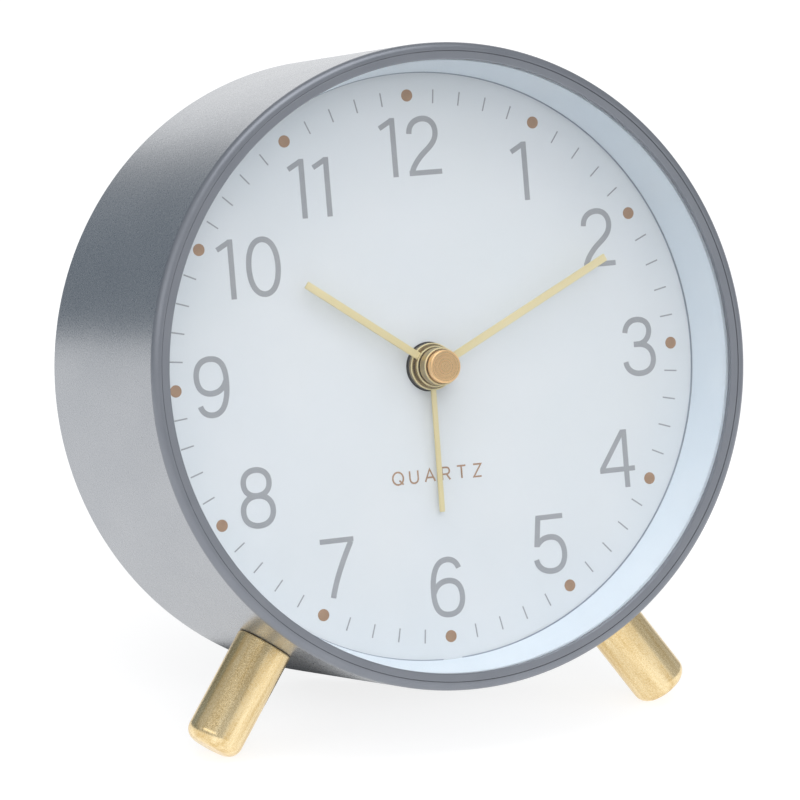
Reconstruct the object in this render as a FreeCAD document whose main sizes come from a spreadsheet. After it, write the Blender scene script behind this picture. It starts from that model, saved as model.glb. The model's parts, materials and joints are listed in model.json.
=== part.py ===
import FreeCAD, Part
import math
import os
import re

import Sketcher
from FreeCAD import Placement, Rotation, Vector

# Round quartz alarm clock on two splayed feet. Every piece is drawn in the clock's own frame: the
# origin is the centre of the front rim, X points right as the dial is read, Y points to twelve
# o'clock and Z comes out of the face. A "depth" is a distance behind the front rim, so Z = -depth.
# At the end all pieces are leaned back together until the feet and the rear edge of the case rest
# on the table, and are centred over the origin.

# Driving dimensions in millimetres and degrees.
DIMENSIONS = [
    # Case shell and the parts seen through its front opening.
    ("case_radius", 45.0),
    ("case_depth", 40.8),
    ("case_wall", 1.0),
    ("case_front_round", 1.2),
    ("case_rear_round", 0.5),
    ("front_flat", 0.024),
    ("front_lip_radius", 43.8),
    ("front_lip_depth", 1.2),
    ("bezel_inner_radius", 42.6),
    ("bezel_rim_radius", 43.7),
    ("bezel_flange_radius", 43.95),
    ("bezel_seat_radius", 43.1),
    ("lens_radius", 43.05),
    ("lens_front", 0.92),
    ("lens_rear", 2.45),
    ("reveal_flange_depth", 3.5),
    ("reveal_front_radius", 42.55),
    ("reveal_rear_radius", 41.35),
    ("reveal_wall", 0.6),
    ("fit_radius", 43.95),
    ("dial_radius", 43.7),
    ("dial_front", 10.3),
    ("dial_rear", 10.9),
    ("dial_hole_radius", 3.5),
    ("frame_rear", 12.1),
    ("frame_hole_radius", 3.6),
    # Feet and what holds them.
    ("foot_radius", 4.08),
    ("foot_length", 16.4),
    ("foot_end_round", 1.9),
    ("foot_depth", 15.6),
    ("foot_angle", 35.4),
    ("foot_bore_radius", 1.5),
    ("foot_bore_length", 9.0),
    ("foot_saddle_gap", 0.04),
    ("foot_screw_radius", 1.45),
    ("foot_screw_reach", 8.0),
    ("foot_screw_head_radius", 2.8),
    ("foot_screw_head_height", 1.8),
    ("foot_washer_radius", 3.2),
    ("foot_washer_height", 0.8),
    ("washer_gap", 0.15),
    ("foot_hole_radius", 1.6),
    # Rear cover, its screws and the posts they enter.
    ("cover_radius", 43.85),
    ("cover_front", 37.8),
    ("cover_rear", 39.4),
    ("skirt_front", 33.0),
    ("skirt_inner_radius", 42.4),
    ("post_circle_radius", 37.5),
    ("post_radius", 2.4),
    ("post_bore_radius", 0.9),
    ("post_bore_front", 31.0),
    ("cover_screw_radius", 0.85),
    ("cover_screw_head_radius", 2.4),
    ("cover_screw_head_height", 1.0),
    ("cover_screw_front", 32.0),
    ("cover_screw_hole_radius", 1.0),
    # Battery bay, door, cell and contacts.
    ("bay_half_width", 27.0),
    ("bay_low", -31.3),
    ("bay_high", -15.7),
    ("bay_front", 22.6),
    ("bay_wall", 1.2),
    ("door_gap", 0.2),
    ("door_front", 38.2),
    ("door_hinge_y", -31.6),
    ("door_hinge_depth", 38.7),
    ("door_barrel_radius", 0.65),
    ("door_opening_low", -32.4),
    ("door_pin_radius", 0.35),
    ("door_pin_reach", 0.6),
    ("door_pin_hole_radius", 0.42),
    ("door_grip_width", 12.0),
    ("door_grip_depth", 0.5),
    ("door_grip_height", 3.0),
    ("door_web_inset", 0.15),
    ("door_web_step", 0.1),
    ("door_corner_margin", 1.0),
    ("cell_radius", 7.2),
    ("cell_depth", 30.2),
    ("cell_half_length", 24.5),
    ("cell_nub_radius", 2.75),
    ("cell_nub_end", 26.0),
    ("contact_plate_half_width", 4.0),
    ("contact_plate_thickness", 0.4),
    ("contact_plate_gap", 0.05),
    ("spring_radius", 3.2),
    ("spring_wire_radius", 0.3),
    ("spring_pitch", 0.85),
    ("spring_turns", 2),
    ("spring_steps_per_turn", 16),
    ("spring_start", -26.65),
    # Movement plates, posts and screws.
    ("movement_half_width", 22.0),
    ("movement_low", -14.2),
    ("movement_high", 26.0),
    ("front_plate_front", 12.15),
    ("front_plate_rear", 13.35),
    ("rear_plate_front", 21.9),
    ("rear_plate_rear", 23.1),
    ("bush_radius", 3.35),
    ("bush_front", 9.8),
    ("pillar_x", 19.5),
    ("pillar_low", -11.5),
    ("pillar_high", 23.3),
    ("pillar_radius", 2.0),
    ("pillar_bore_radius", 0.8),
    ("pillar_bore_front", 15.0),
    ("movement_screw_radius", 0.75),
    ("movement_screw_front", 15.5),
    ("movement_screw_head_radius", 1.8),
    ("movement_screw_head_height", 0.9),
    ("movement_screw_hole_radius", 0.9),
    # Arbors of the train: centres as a distance and a direction from the centre arbor.
    ("running_gap", 0.05),
    ("pivot_radius", 0.3),
    ("pivot_recess", 0.2),
    ("time_arbor_distance", 9.28),
    ("time_arbor_direction", 155.0),
    ("alarm_arbor_distance", 9.8),
    ("alarm_arbor_direction", 25.0),
    ("third_arbor_distance", 8.5),
    ("third_arbor_direction", -35.0),
    ("intermediate_arbor_distance", 8.75),
    ("intermediate_arbor_direction", 90.0),
    ("rotor_arbor_distance", 9.0),
    ("rotor_arbor_direction", 60.0),
    ("setting_arbor_radius", 1.0),
    ("setting_arbor_rear", 43.5),
    ("setting_arbor_hole_gap", 0.08),
    ("setting_pivot_radius", 0.5),
    # Nested pipes that carry the hands, from the inside out.
    ("seconds_post_radius", 0.45),
    ("minute_pipe_radius", 1.0),
    ("hour_pipe_radius", 1.55),
    ("alarm_pipe_radius", 2.15),
    ("minute_pipe_rear", 18.35),
    # Wheel levels, front face and rear face of each.
    ("alarm_wheel_front", 13.7),
    ("alarm_wheel_rear", 14.5),
    ("hour_wheel_front", 14.9),
    ("hour_wheel_rear", 15.7),
    ("minute_wheel_front", 16.2),
    ("minute_arbor_step", 0.5),
    ("minute_wheel_rear", 17.0),
    ("centre_wheel_front", 17.5),
    ("centre_wheel_rear", 18.2),
    ("third_wheel_front", 18.7),
    ("third_wheel_rear", 19.4),
    ("seconds_wheel_front", 19.9),
    ("seconds_wheel_rear", 20.6),
    ("intermediate_wheel_front", 20.9),
    ("intermediate_wheel_rear", 21.5),
    ("pinion_overhang", 0.1),
    # Tooth counts of each mesh, wheel and pinion.
    ("alarm_wheel_teeth", 56),
    ("alarm_pinion_teeth", 14),
    ("hour_wheel_teeth", 56),
    ("minute_pinion_teeth", 14),
    ("minute_wheel_teeth", 48),
    ("cannon_pinion_teeth", 16),
    ("centre_wheel_teeth", 80),
    ("third_pinion_teeth", 10),
    ("third_wheel_teeth", 75),
    ("seconds_pinion_teeth", 10),
    ("seconds_wheel_teeth", 60),
    ("intermediate_pinion_teeth", 10),
    ("intermediate_wheel_teeth", 60),
    ("rotor_pinion_teeth", 12),
    # Tooth shape, in modules and degrees.
    ("pressure_angle", 20.0),
    ("tooth_addendum", 0.8),
    ("tooth_dedendum", 1.15),
    ("tooth_backlash", 0.35),
    # Hands: hub faces are given as heights above the dial.
    ("shown_time_minutes", 610.7),
    ("alarm_time_minutes", 361.0),
    ("hub_press_gap", 0.01),
    ("alarm_hub_radius", 3.3),
    ("alarm_hub_low", 0.65),
    ("alarm_hub_top", 1.4),
    ("alarm_hand_length", 20.5),
    ("alarm_hand_width", 0.75),
    ("hour_hub_radius", 2.9),
    ("hour_hub_low", 1.6),
    ("hour_hub_top", 2.5),
    ("hour_hand_length", 22.5),
    ("hour_hand_width", 1.05),
    ("minute_hub_radius", 2.65),
    ("minute_hub_low", 2.75),
    ("minute_hub_top", 4.6),
    ("minute_hand_length", 30.3),
    ("minute_hand_width", 1.1),
    ("hand_thickness", 0.35),
    ("hand_blade_rise", 0.25),
    ("cap_radius", 2.35),
    ("cap_low", 4.75),
    ("cap_top", 5.8),
    ("cap_round", 0.25),
    ("cap_bore_top", 5.3),
    # Stepping motor.
    ("magnet_radius", 2.9),
    ("magnet_front", 17.4),
    ("magnet_rear", 20.4),
    ("stator_front", 18.2),
    ("stator_rear", 19.4),
    ("stator_left", -16.0),
    ("stator_right", 9.5),
    ("stator_low", 12.2),
    ("stator_hole_radius", 3.3),
    ("coil_y", 22.4),
    ("coil_left", -13.0),
    ("coil_right", 3.0),
    ("coil_flange_radius", 3.0),
    ("stator_clearance", 0.3),
    ("stator_leg_overlap", 0.6),
    ("stator_right_inset", 1.5),
    ("stator_foot_height", 2.6),
    ("stator_arm_height", 6.1),
    ("stator_pole_left", -0.5),
    ("coil_flange_width", 0.8),
    ("coil_winding_radius", 2.75),
    ("coil_tube_radius", 1.6),
    ("coil_bore_radius", 1.25),
    ("coil_core_half_width", 1.0),
    # Alarm contact and friction washer.
    ("contact_spring_front", 14.63),
    ("contact_spring_rear", 14.77),
    ("contact_spring_left", -20.0),
    ("contact_spring_right", -4.0),
    ("contact_spring_y", -5.0),
    ("contact_spring_half_width", 1.0),
    ("contact_foot_length", 3.0),
    ("friction_washer_front", 13.37),
    ("friction_washer_rear", 13.62),
    ("friction_washer_radius", 3.6),
    # Circuit board and what stands on it.
    ("board_half_width", 31.0),
    ("board_low", 11.5),
    ("board_high", 22.5),
    ("board_front", 31.5),
    ("board_rear", 32.7),
    ("boss_x", 16.0),
    ("boss_y", 17.0),
    ("boss_radius", 2.0),
    ("boss_bore_radius", 0.8),
    ("board_screw_radius", 0.75),
    ("board_screw_rear", 36.0),
    ("board_screw_head_radius", 1.8),
    ("board_screw_head_height", 0.9),
    ("board_hole_radius", 0.9),
    ("chip_x", 5.0),
    ("chip_radius", 3.0),
    ("chip_height", 1.2),
    ("crystal_x", -11.0),
    ("crystal_radius", 1.0),
    ("crystal_length", 6.2),
    ("buzzer_y", 29.0),
    ("buzzer_radius", 9.0),
    ("buzzer_front", 34.6),
    ("buzzer_rear", 37.7),
    ("sound_hole_radius", 0.9),
    ("sound_ring_radius", 4.0),
    ("sound_hole_count", 6),
    # Controls on the rear cover.
    ("knob_radius", 6.5),
    ("knob_front", 39.7),
    ("knob_rear", 44.5),
    ("knob_edge_round", 0.6),
    ("knob_flute_radius", 0.7),
    ("knob_flute_count", 24),
    ("slider_x", -25.0),
    ("slider_y", 15.0),
    ("slider_travel", 4.0),
    ("slider_knob_half_width", 2.8),
    ("slider_knob_half_height", 2.3),
    ("slider_knob_rear", 41.2),
    ("slider_neck_half", 1.2),
    ("slider_plate_half_width", 3.2),
    ("slider_plate_half_height", 4.0),
    ("slider_plate_front", 36.7),
    ("slider_gap", 0.1),
    ("wiper_front", 33.2),
    ("wiper_rear", 33.55),
    ("wiper_half_width", 1.0),
    ("wiper_half_height", 2.2),
    ("wiper_tip_height", 0.8),
    ("button_x", 25.0),
    ("button_y", 17.0),
    ("button_radius", 3.9),
    ("button_hole_radius", 4.0),
    ("button_rear", 40.9),
    ("button_flange_radius", 4.8),
    ("button_flange_front", 36.8),
    ("button_flange_gap", 0.1),
    ("button_stem_radius", 1.0),
    ("button_travel", 0.8),
    ("dome_radius", 2.5),
    ("dome_height", 0.2),
]

doc = FreeCAD.newDocument("alarm_clock")
sheet = doc.addObject("Spreadsheet::Sheet", "Dimensions")
for row, (alias, value) in enumerate(DIMENSIONS, start=1):
    sheet.set(f"A{row}", alias.replace("_", " "))
    sheet.set(f"B{row}", str(value))
    sheet.setAlias(f"B{row}", alias)
doc.recompute()
ALIASES = {alias for alias, value in DIMENSIONS}
sub_parts = []


# Sheet expressions.

def on_sheet(expression):
    """The expression with each dimension's name written as a reference to the sheet."""
    def reference(match):
        word = match.group()
        return f"Dimensions.{word}" if word in ALIASES else word
    return re.sub(r"[A-Za-z_]\w*", reference, expression)


def value_of(expression):
    """The number that an expression of the sheet's names gives."""
    return float(sheet.evalExpression(on_sheet(expression)))


def bind(feature, target, expression):
    feature.setExpression(target, on_sheet(expression))


def locate(feature, x, y, z):
    for axis, expression in zip("xyz", (x, y, z)):
        bind(feature, f"Placement.Base.{axis}", expression)


# Building blocks, with every size bound to the sheet.

def disc(label, radius, front, rear, x="0", y="0"):
    """A cylinder along the clock's axis between two depths."""
    feature = doc.addObject("Part::Cylinder", label)
    bind(feature, "Radius", radius)
    bind(feature, "Height", f"({rear}) - ({front})")
    locate(feature, x, y, f"-({rear})")
    return feature


def rod(label, radius, left, right, y, depth):
    """A cylinder along X."""
    feature = doc.addObject("Part::Cylinder", label)
    feature.Placement = Placement(Vector(), Rotation(Vector(0, 0, 1), Vector(1, 0, 0)))
    bind(feature, "Radius", radius)
    bind(feature, "Height", f"({right}) - ({left})")
    locate(feature, left, y, f"-({depth})")
    return feature


def block(label, left, right, low, high, front, rear):
    feature = doc.addObject("Part::Box", label)
    bind(feature, "Length", f"({right}) - ({left})")
    bind(feature, "Width", f"({high}) - ({low})")
    bind(feature, "Height", f"({rear}) - ({front})")
    locate(feature, left, low, f"-({rear})")
    return feature


def fuse(label, pieces):
    feature = doc.addObject("Part::MultiFuse", label)
    feature.Shapes = pieces
    return feature


def cut(label, base, tools):
    feature = doc.addObject("Part::Cut", label)
    feature.Base = base
    feature.Tool = tools[0] if len(tools) == 1 else fuse(f"{label}_tools", tools)
    return feature


def group(label, pieces):
    """Separate solids kept side by side in one sub-part."""
    feature = doc.addObject("Part::Compound", label)
    feature.Links = pieces
    return feature


def revolved(label, profile, height_sign=-1):
    """A body turned about its Z axis from (radius, depth) corners given as expressions."""
    body = doc.addObject("PartDesign::Body", label)
    sketch = body.newObject("Sketcher::SketchObject", f"{label}_profile")
    plane = next(p for p in body.Origin.OriginFeatures if p.Role == "XZ_Plane")
    sketch.AttachmentSupport = [(plane, "")]
    sketch.MapMode = "FlatFace"
    bound = [(radius, f"{height_sign} * ({along})") for radius, along in profile]
    corners = [Vector(value_of(across), value_of(up), 0) for across, up in bound]
    for index, corner in enumerate(corners):
        following = corners[(index + 1) % len(corners)]
        sketch.addGeometry(Part.LineSegment(corner, following), False)
    for index, (across, up) in enumerate(bound):
        following = (index + 1) % len(corners)
        sketch.addConstraint(Sketcher.Constraint("Coincident", index, 2, following, 1))
        distances = (("DistanceX", across), ("DistanceY", up))
        for kind, expression in distances:
            limit = Sketcher.Constraint(kind, -1, 1, index, 1, value_of(expression))
            bind(sketch, f"Constraints[{sketch.addConstraint(limit)}]", expression)
    turn = body.newObject("PartDesign::Revolution", f"{label}_turned")
    turn.Profile = sketch
    turn.ReferenceAxis = (sketch, ["V_Axis"])
    turn.Angle = 360
    doc.recompute()
    return body


def round_edges(body, radius, rims):
    """Fillet a body's circular edges; each rim is (radius, Z) as expressions."""
    wanted = [(value_of(rim_radius), value_of(height)) for rim_radius, height in rims]
    base = body.Tip
    names = []
    for index, edge in enumerate(base.Shape.Edges, start=1):
        if not isinstance(edge.Curve, Part.Circle):
            continue
        for rim_radius, height in wanted:
            same_radius = abs(edge.Curve.Radius - rim_radius) < 1e-6
            if same_radius and abs(edge.Curve.Center.z - height) < 1e-6:
                names.append(f"Edge{index}")
    fillet = body.newObject("PartDesign::Fillet", f"{body.Label}_rounding")
    fillet.Base = (base, names)
    bind(fillet, "Radius", radius)
    body.Tip = fillet
    doc.recompute()


def sub_part(feature):
    """Note a finished piece; its label is its name."""
    sub_parts.append(feature)
    return feature


# Places of the arbors.

def polar(distance, direction, start=("0", "0")):
    """Expressions for the point at a distance and direction from a start point."""
    x, y = start
    return (f"({x}) + {distance} * cos({direction} * 1deg)",
            f"({y}) + {distance} * sin({direction} * 1deg)")


CENTRE = ("0", "0")
TIME_ARBOR = polar("time_arbor_distance", "time_arbor_direction")
ALARM_ARBOR = polar("alarm_arbor_distance", "alarm_arbor_direction")
THIRD_ARBOR = polar("third_arbor_distance", "third_arbor_direction")
INTERMEDIATE_ARBOR = polar("intermediate_arbor_distance", "intermediate_arbor_direction")
ROTOR_ARBOR = polar("rotor_arbor_distance", "rotor_arbor_direction", INTERMEDIATE_ARBOR)
PILLARS = [(x, y) for x in ("-pillar_x", "pillar_x") for y in ("pillar_low", "pillar_high")]
POSTS = [polar("post_circle_radius", direction) for direction in ("-90", "50", "130")]
BOSSES = [("-boss_x", "boss_y"), ("boss_x", "boss_y")]


# Case, front and dial.

def make_case():
    inner = "case_radius - case_wall"
    shell = revolved("case_turning", [
        (inner, "case_depth"),
        ("case_radius", "case_depth"),
        ("case_radius", "0"),
        ("front_lip_radius", "0"),
        ("front_lip_radius", "front_lip_depth"),
        (inner, "front_lip_depth"),
    ])
    round_edges(shell, "case_front_round - front_flat", [("case_radius", "0")])
    round_edges(shell, "case_rear_round", [("case_radius", "-case_depth")])
    holes = []
    for side in ("-1", "1"):
        hole = radial(doc.addObject("Part::Cylinder", "foot_hole"), side)
        bind(hole, "Radius", "foot_hole_radius")
        bind(hole, "Height", "case_radius + case_wall")
        holes.append(hole)
    sub_part(cut("case_shell", shell, holes))


def radial(feature, side):
    """Point a feature's Z axis along one foot; side is "-1" for the left foot."""
    angle = math.radians(value_of("foot_angle"))
    direction = Vector(float(side) * math.sin(angle), -math.cos(angle), 0)
    feature.Placement = Placement(Vector(), Rotation(Vector(0, 0, 1), direction))
    bind(feature, "Placement.Base.z", "-foot_depth")
    return feature


def make_front():
    sub_part(revolved("bezel_ring", [
        ("bezel_inner_radius", "0"),
        ("bezel_rim_radius", "0"),
        ("bezel_rim_radius", "front_lip_depth + running_gap"),
        ("bezel_flange_radius", "front_lip_depth + running_gap"),
        ("bezel_flange_radius", "lens_rear"),
        ("bezel_seat_radius", "lens_rear"),
        ("bezel_seat_radius", "lens_front"),
        ("bezel_inner_radius", "lens_front"),
    ]))
    sub_part(group("lens", [disc("lens_disc", "lens_radius", "lens_front", "lens_rear")]))
    sub_part(revolved("reveal_ring", [
        ("reveal_front_radius", "lens_rear"),
        ("fit_radius", "lens_rear"),
        ("fit_radius", "reveal_flange_depth"),
        ("reveal_front_radius + reveal_wall", "reveal_flange_depth"),
        ("reveal_rear_radius + reveal_wall", "dial_front"),
        ("reveal_rear_radius", "dial_front"),
    ]))
    plate = disc("dial_plate", "dial_radius", "dial_front", "dial_rear")
    sub_part(cut("dial", plate, [disc("dial_hole", "dial_hole_radius", "dial_front", "dial_rear")]))


def make_inner_frame():
    plate = disc("frame_plate", "fit_radius", "dial_rear", "frame_rear")
    posts = [disc("frame_post", "post_radius", "frame_rear", "cover_front", x, y) for x, y in POSTS]
    hole = disc("frame_hole", "frame_hole_radius", "dial_rear", "frame_rear")
    bores = [
        disc("post_bore", "post_bore_radius", "post_bore_front", "cover_front", x, y)
        for x, y in POSTS
    ]
    sub_part(cut("inner_frame", fuse("frame_solid", [plate] + posts), [hole] + bores))


# Feet.

def make_feet():
    washer_outer = "case_radius - case_wall - washer_gap"
    washer_inner = f"{washer_outer} - foot_washer_height"
    tip = "case_radius + foot_length"
    root = "case_radius - case_wall"
    screws = []
    washers = []
    for name, side in (("foot_left", "-1"), ("foot_right", "1")):
        foot = revolved(f"{name}_turning", [
            ("foot_bore_radius", root),
            ("foot_radius", root),
            ("foot_radius", tip),
            ("0", tip),
            ("0", "case_radius + foot_bore_length"),
            ("foot_bore_radius", "case_radius + foot_bore_length"),
        ], height_sign=1)
        round_edges(foot, "foot_end_round", [("foot_radius", tip)])
        saddle = disc("foot_saddle", "case_radius + foot_saddle_gap", "0", "case_depth")
        sub_part(cut(name, radial(foot, side), [saddle]))
        screw = revolved("foot_screw", [
            ("0", f"{washer_inner} - foot_screw_head_height"),
            ("foot_screw_head_radius", f"{washer_inner} - foot_screw_head_height"),
            ("foot_screw_head_radius", washer_inner),
            ("foot_screw_radius", washer_inner),
            ("foot_screw_radius", "case_radius + foot_screw_reach"),
            ("0", "case_radius + foot_screw_reach"),
        ], height_sign=1)
        screws.append(radial(screw, side))
        washer = revolved("foot_washer", [
            ("foot_hole_radius", washer_inner),
            ("foot_washer_radius", washer_inner),
            ("foot_washer_radius", washer_outer),
            ("foot_hole_radius", washer_outer),
        ], height_sign=1)
        washers.append(radial(washer, side))
    sub_part(group("foot_screws", screws))
    sub_part(group("foot_washers", washers))


# Rear cover, battery bay and door.

def make_rear_cover():
    skirt = cut(
        "cover_skirt",
        disc("skirt_outside", "cover_radius", "skirt_front", "cover_front"),
        [disc("skirt_inside", "skirt_inner_radius", "skirt_front", "cover_front")],
    )
    bay = block(
        "bay_outside",
        "-bay_half_width - bay_wall", "bay_half_width + bay_wall",
        "bay_low - bay_wall", "bay_high + bay_wall",
        "bay_front - bay_wall", "cover_front",
    )
    bosses = [
        disc("board_boss", "boss_radius", "board_rear", "cover_front", x, y) for x, y in BOSSES
    ]
    plate = disc("cover_plate", "cover_radius", "cover_front", "cover_rear")
    solid = fuse("cover_solid", [plate, skirt, bay] + bosses)
    through = ("cover_front", "cover_rear")
    tools = [
        block("bay_inside", "-bay_half_width", "bay_half_width", "bay_low", "bay_high",
              "bay_front", "cover_rear"),
        block("door_opening", "-bay_half_width", "bay_half_width", "door_opening_low", "bay_high",
              *through),
        rod("door_pin_hole", "door_pin_hole_radius", "-bay_half_width - door_pin_reach",
            "bay_half_width + door_pin_reach", "door_hinge_y", "door_hinge_depth"),
        block("door_grip", "-door_grip_width / 2", "door_grip_width / 2", "bay_high",
              "bay_high + door_grip_height", "cover_rear - door_grip_depth", "cover_rear"),
        block("slider_slot",
              "slider_x - slider_neck_half - slider_gap", "slider_x + slider_neck_half + slider_gap",
              "slider_y - slider_neck_half - slider_gap",
              "slider_y + slider_travel + slider_neck_half + slider_gap", *through),
        disc("button_hole", "button_hole_radius", *through, "button_x", "button_y"),
        disc("sound_hole", "sound_hole_radius", *through, "0", "buzzer_y"),
    ]
    for index in range(int(value_of("sound_hole_count"))):
        x, y = polar("sound_ring_radius", f"({index} * 360 / sound_hole_count)", ("0", "buzzer_y"))
        tools.append(disc("sound_hole", "sound_hole_radius", *through, x, y))
    for x, y in (TIME_ARBOR, ALARM_ARBOR):
        arbor_hole = "setting_arbor_radius + setting_arbor_hole_gap"
        tools.append(disc("arbor_hole", arbor_hole, *through, x, y))
    for x, y in POSTS:
        tools.append(disc("cover_screw_hole", "cover_screw_hole_radius", *through, x, y))
    for x, y in BOSSES:
        tools.append(disc("boss_bore", "boss_bore_radius", "board_rear", "cover_front", x, y))
    sub_part(cut("rear_cover", solid, tools))


def screw_group(label, places, radius, shank, head_radius, head):
    """Identical screws; shank and head are (front, rear) depths."""
    screws = []
    for x, y in places:
        pieces = [
            disc("screw_shank", radius, *shank, x, y),
            disc("screw_head", head_radius, *head, x, y),
        ]
        screws.append(fuse("screw", pieces))
    sub_part(group(label, screws))


def make_battery_door():
    side = "bay_half_width - door_gap"
    low = "door_hinge_y"
    plate = block("door_plate", f"-({side})", side, low, "bay_high - door_gap",
                  "door_front", "cover_rear")
    corner = block("door_corner", "-bay_half_width", "bay_half_width", low,
                   "door_hinge_y + door_barrel_radius", "door_front - door_corner_margin",
                   "cover_rear + door_corner_margin")
    barrel = rod("door_barrel", "door_barrel_radius", f"-({side})", side,
                 "door_hinge_y", "door_hinge_depth")
    pin_end = "bay_half_width + door_pin_reach - door_gap"
    pin = rod("door_pin", "door_pin_radius", f"-({pin_end})", pin_end,
              "door_hinge_y", "door_hinge_depth")
    leaf = cut("door_leaf", plate, [corner])
    web = block("door_web", f"-({side})", side, "door_hinge_y",
                "door_hinge_y + door_barrel_radius + door_gap",
                "door_hinge_depth - door_barrel_radius + door_web_inset",
                "cover_rear - door_web_step")
    sub_part(fuse("battery_door", [leaf, web, barrel, pin]))


def make_contact_spring(centre):
    """A coil of round wire along X, bent from short straight lengths."""
    radius = value_of("spring_radius")
    steps = value_of("spring_steps_per_turn")
    middle = Vector(value_of("spring_start"), value_of(centre), -value_of("cell_depth"))
    points = []
    for index in range(int(value_of("spring_turns") * steps) + 1):
        angle = 2 * math.pi * index / steps
        along = value_of("spring_pitch") * index / steps
        around = Vector(along, radius * math.cos(angle), radius * math.sin(angle))
        points.append(middle + around)
    start = Part.makeCircle(value_of("spring_wire_radius"), points[0], points[1] - points[0])
    mitred = 1
    feature = doc.addObject("Part::Feature", "battery_contact_spring")
    feature.Shape = Part.makePolygon(points).makePipeShell([Part.Wire(start)], True, False, mitred)
    return feature


def make_battery():
    centre = "(bay_low + bay_high) / 2"
    can = rod("cell_can", "cell_radius", "-cell_half_length", "cell_half_length",
              centre, "cell_depth")
    nub = rod("cell_nub", "cell_nub_radius", "cell_half_length", "cell_nub_end",
              centre, "cell_depth")
    sub_part(fuse("battery_cell", [can, nub]))
    plate = block(
        "contact_plate",
        "cell_nub_end + contact_plate_gap",
        "cell_nub_end + contact_plate_gap + contact_plate_thickness",
        f"{centre} - contact_plate_half_width", f"{centre} + contact_plate_half_width",
        "cell_depth - contact_plate_half_width", "cell_depth + contact_plate_half_width",
    )
    sub_part(group("battery_contact_plate", [plate]))
    sub_part(make_contact_spring(centre))


# Movement plates and motor.

def movement_plate(label, front, rear):
    return block(label, "-movement_half_width", "movement_half_width",
                 "movement_low", "movement_high", front, rear)


def make_movement_plates():
    plate = movement_plate("front_plate", "front_plate_front", "front_plate_rear")
    bush = disc("hand_bush", "bush_radius", "bush_front", "front_plate_front")
    pillars = [
        disc("pillar", "pillar_radius", "front_plate_rear", "rear_plate_front", x, y)
        for x, y in PILLARS
    ]
    pivot_hole = "pivot_radius + running_gap"
    tools = [
        disc("bush_bore", "alarm_pipe_radius + running_gap", "bush_front", "front_plate_rear"),
        disc("time_pivot_hole", "setting_pivot_radius + running_gap",
             "front_plate_front", "front_plate_rear", *TIME_ARBOR),
        disc("alarm_pivot_hole", "setting_pivot_radius + running_gap",
             "front_plate_front", "front_plate_rear", *ALARM_ARBOR),
    ]
    for x, y in (THIRD_ARBOR, INTERMEDIATE_ARBOR, ROTOR_ARBOR):
        tools.append(disc("pivot_hole", pivot_hole, "front_plate_front", "front_plate_rear", x, y))
    for x, y in PILLARS:
        tools.append(disc("pillar_bore", "pillar_bore_radius", "pillar_bore_front",
                          "rear_plate_front", x, y))
    solid = fuse("front_plate_solid", [plate, bush] + pillars)
    sub_part(cut("movement_front_plate", solid, tools))

    plate = movement_plate("rear_plate", "rear_plate_front", "rear_plate_rear")
    levels = ("rear_plate_front", "rear_plate_rear")
    tools = [disc("seconds_bearing", "seconds_post_radius + running_gap", *levels)]
    for x, y in (TIME_ARBOR, ALARM_ARBOR):
        tools.append(disc("arbor_bearing", "setting_arbor_radius + running_gap", *levels, x, y))
    for x, y in (THIRD_ARBOR, INTERMEDIATE_ARBOR, ROTOR_ARBOR):
        tools.append(disc("pivot_hole", pivot_hole, *levels, x, y))
    for x, y in PILLARS:
        tools.append(disc("screw_hole", "movement_screw_hole_radius", *levels, x, y))
    sub_part(cut("movement_rear_plate", plate, tools))


def make_motor():
    rotor_x, rotor_y = ROTOR_ARBOR
    levels = ("stator_front", "stator_rear")
    core_low = "coil_y - coil_core_half_width"
    core_high = "coil_y + coil_core_half_width"
    arm_low = "stator_low + stator_foot_height"
    shoulder = "coil_y - coil_flange_radius - stator_clearance"
    stator = fuse("stator_solid", [
        block("stator_core", "stator_left", "stator_right", core_low, core_high, *levels),
        block("stator_left_leg", "stator_left", "coil_left - stator_leg_overlap", arm_low,
              core_high, *levels),
        block("stator_arm", "stator_left", "0", arm_low, "stator_low + stator_arm_height", *levels),
        block("stator_pole", "stator_pole_left", "stator_right", "stator_low", shoulder, *levels),
        block("stator_right_leg", "coil_right + stator_right_inset", "stator_right", shoulder,
              core_high, *levels),
    ])
    gap = disc("rotor_gap", "stator_hole_radius", *levels, rotor_x, rotor_y)
    sub_part(cut("stator", stator, [gap]))

    axis = ("coil_y", "(stator_front + stator_rear) / 2")
    inner_left = "coil_left + coil_flange_width"
    inner_right = "coil_right - coil_flange_width"
    bobbin = fuse("bobbin_solid", [
        rod("bobbin_tube", "coil_tube_radius", "coil_left", "coil_right", *axis),
        rod("bobbin_flange", "coil_flange_radius", "coil_left", inner_left, *axis),
        rod("bobbin_flange", "coil_flange_radius", inner_right, "coil_right", *axis),
    ])
    bore = rod("bobbin_bore", "coil_bore_radius", "coil_left", "coil_right", *axis)
    sub_part(cut("coil_bobbin", bobbin, [bore]))
    winding = rod("winding_outside", "coil_winding_radius", inner_left, inner_right, *axis)
    hollow = rod("winding_inside", "coil_tube_radius", inner_left, inner_right, *axis)
    sub_part(cut("coil_winding", winding, [hollow]))

    magnet = disc("magnet_body", "magnet_radius", "magnet_front", "magnet_rear", rotor_x, rotor_y)
    shaft_hole = disc("magnet_bore", "pivot_radius", "magnet_front", "magnet_rear",
                      rotor_x, rotor_y)
    sub_part(cut("rotor_magnet", magnet, [shaft_hole]))


# Gear train.

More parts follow.
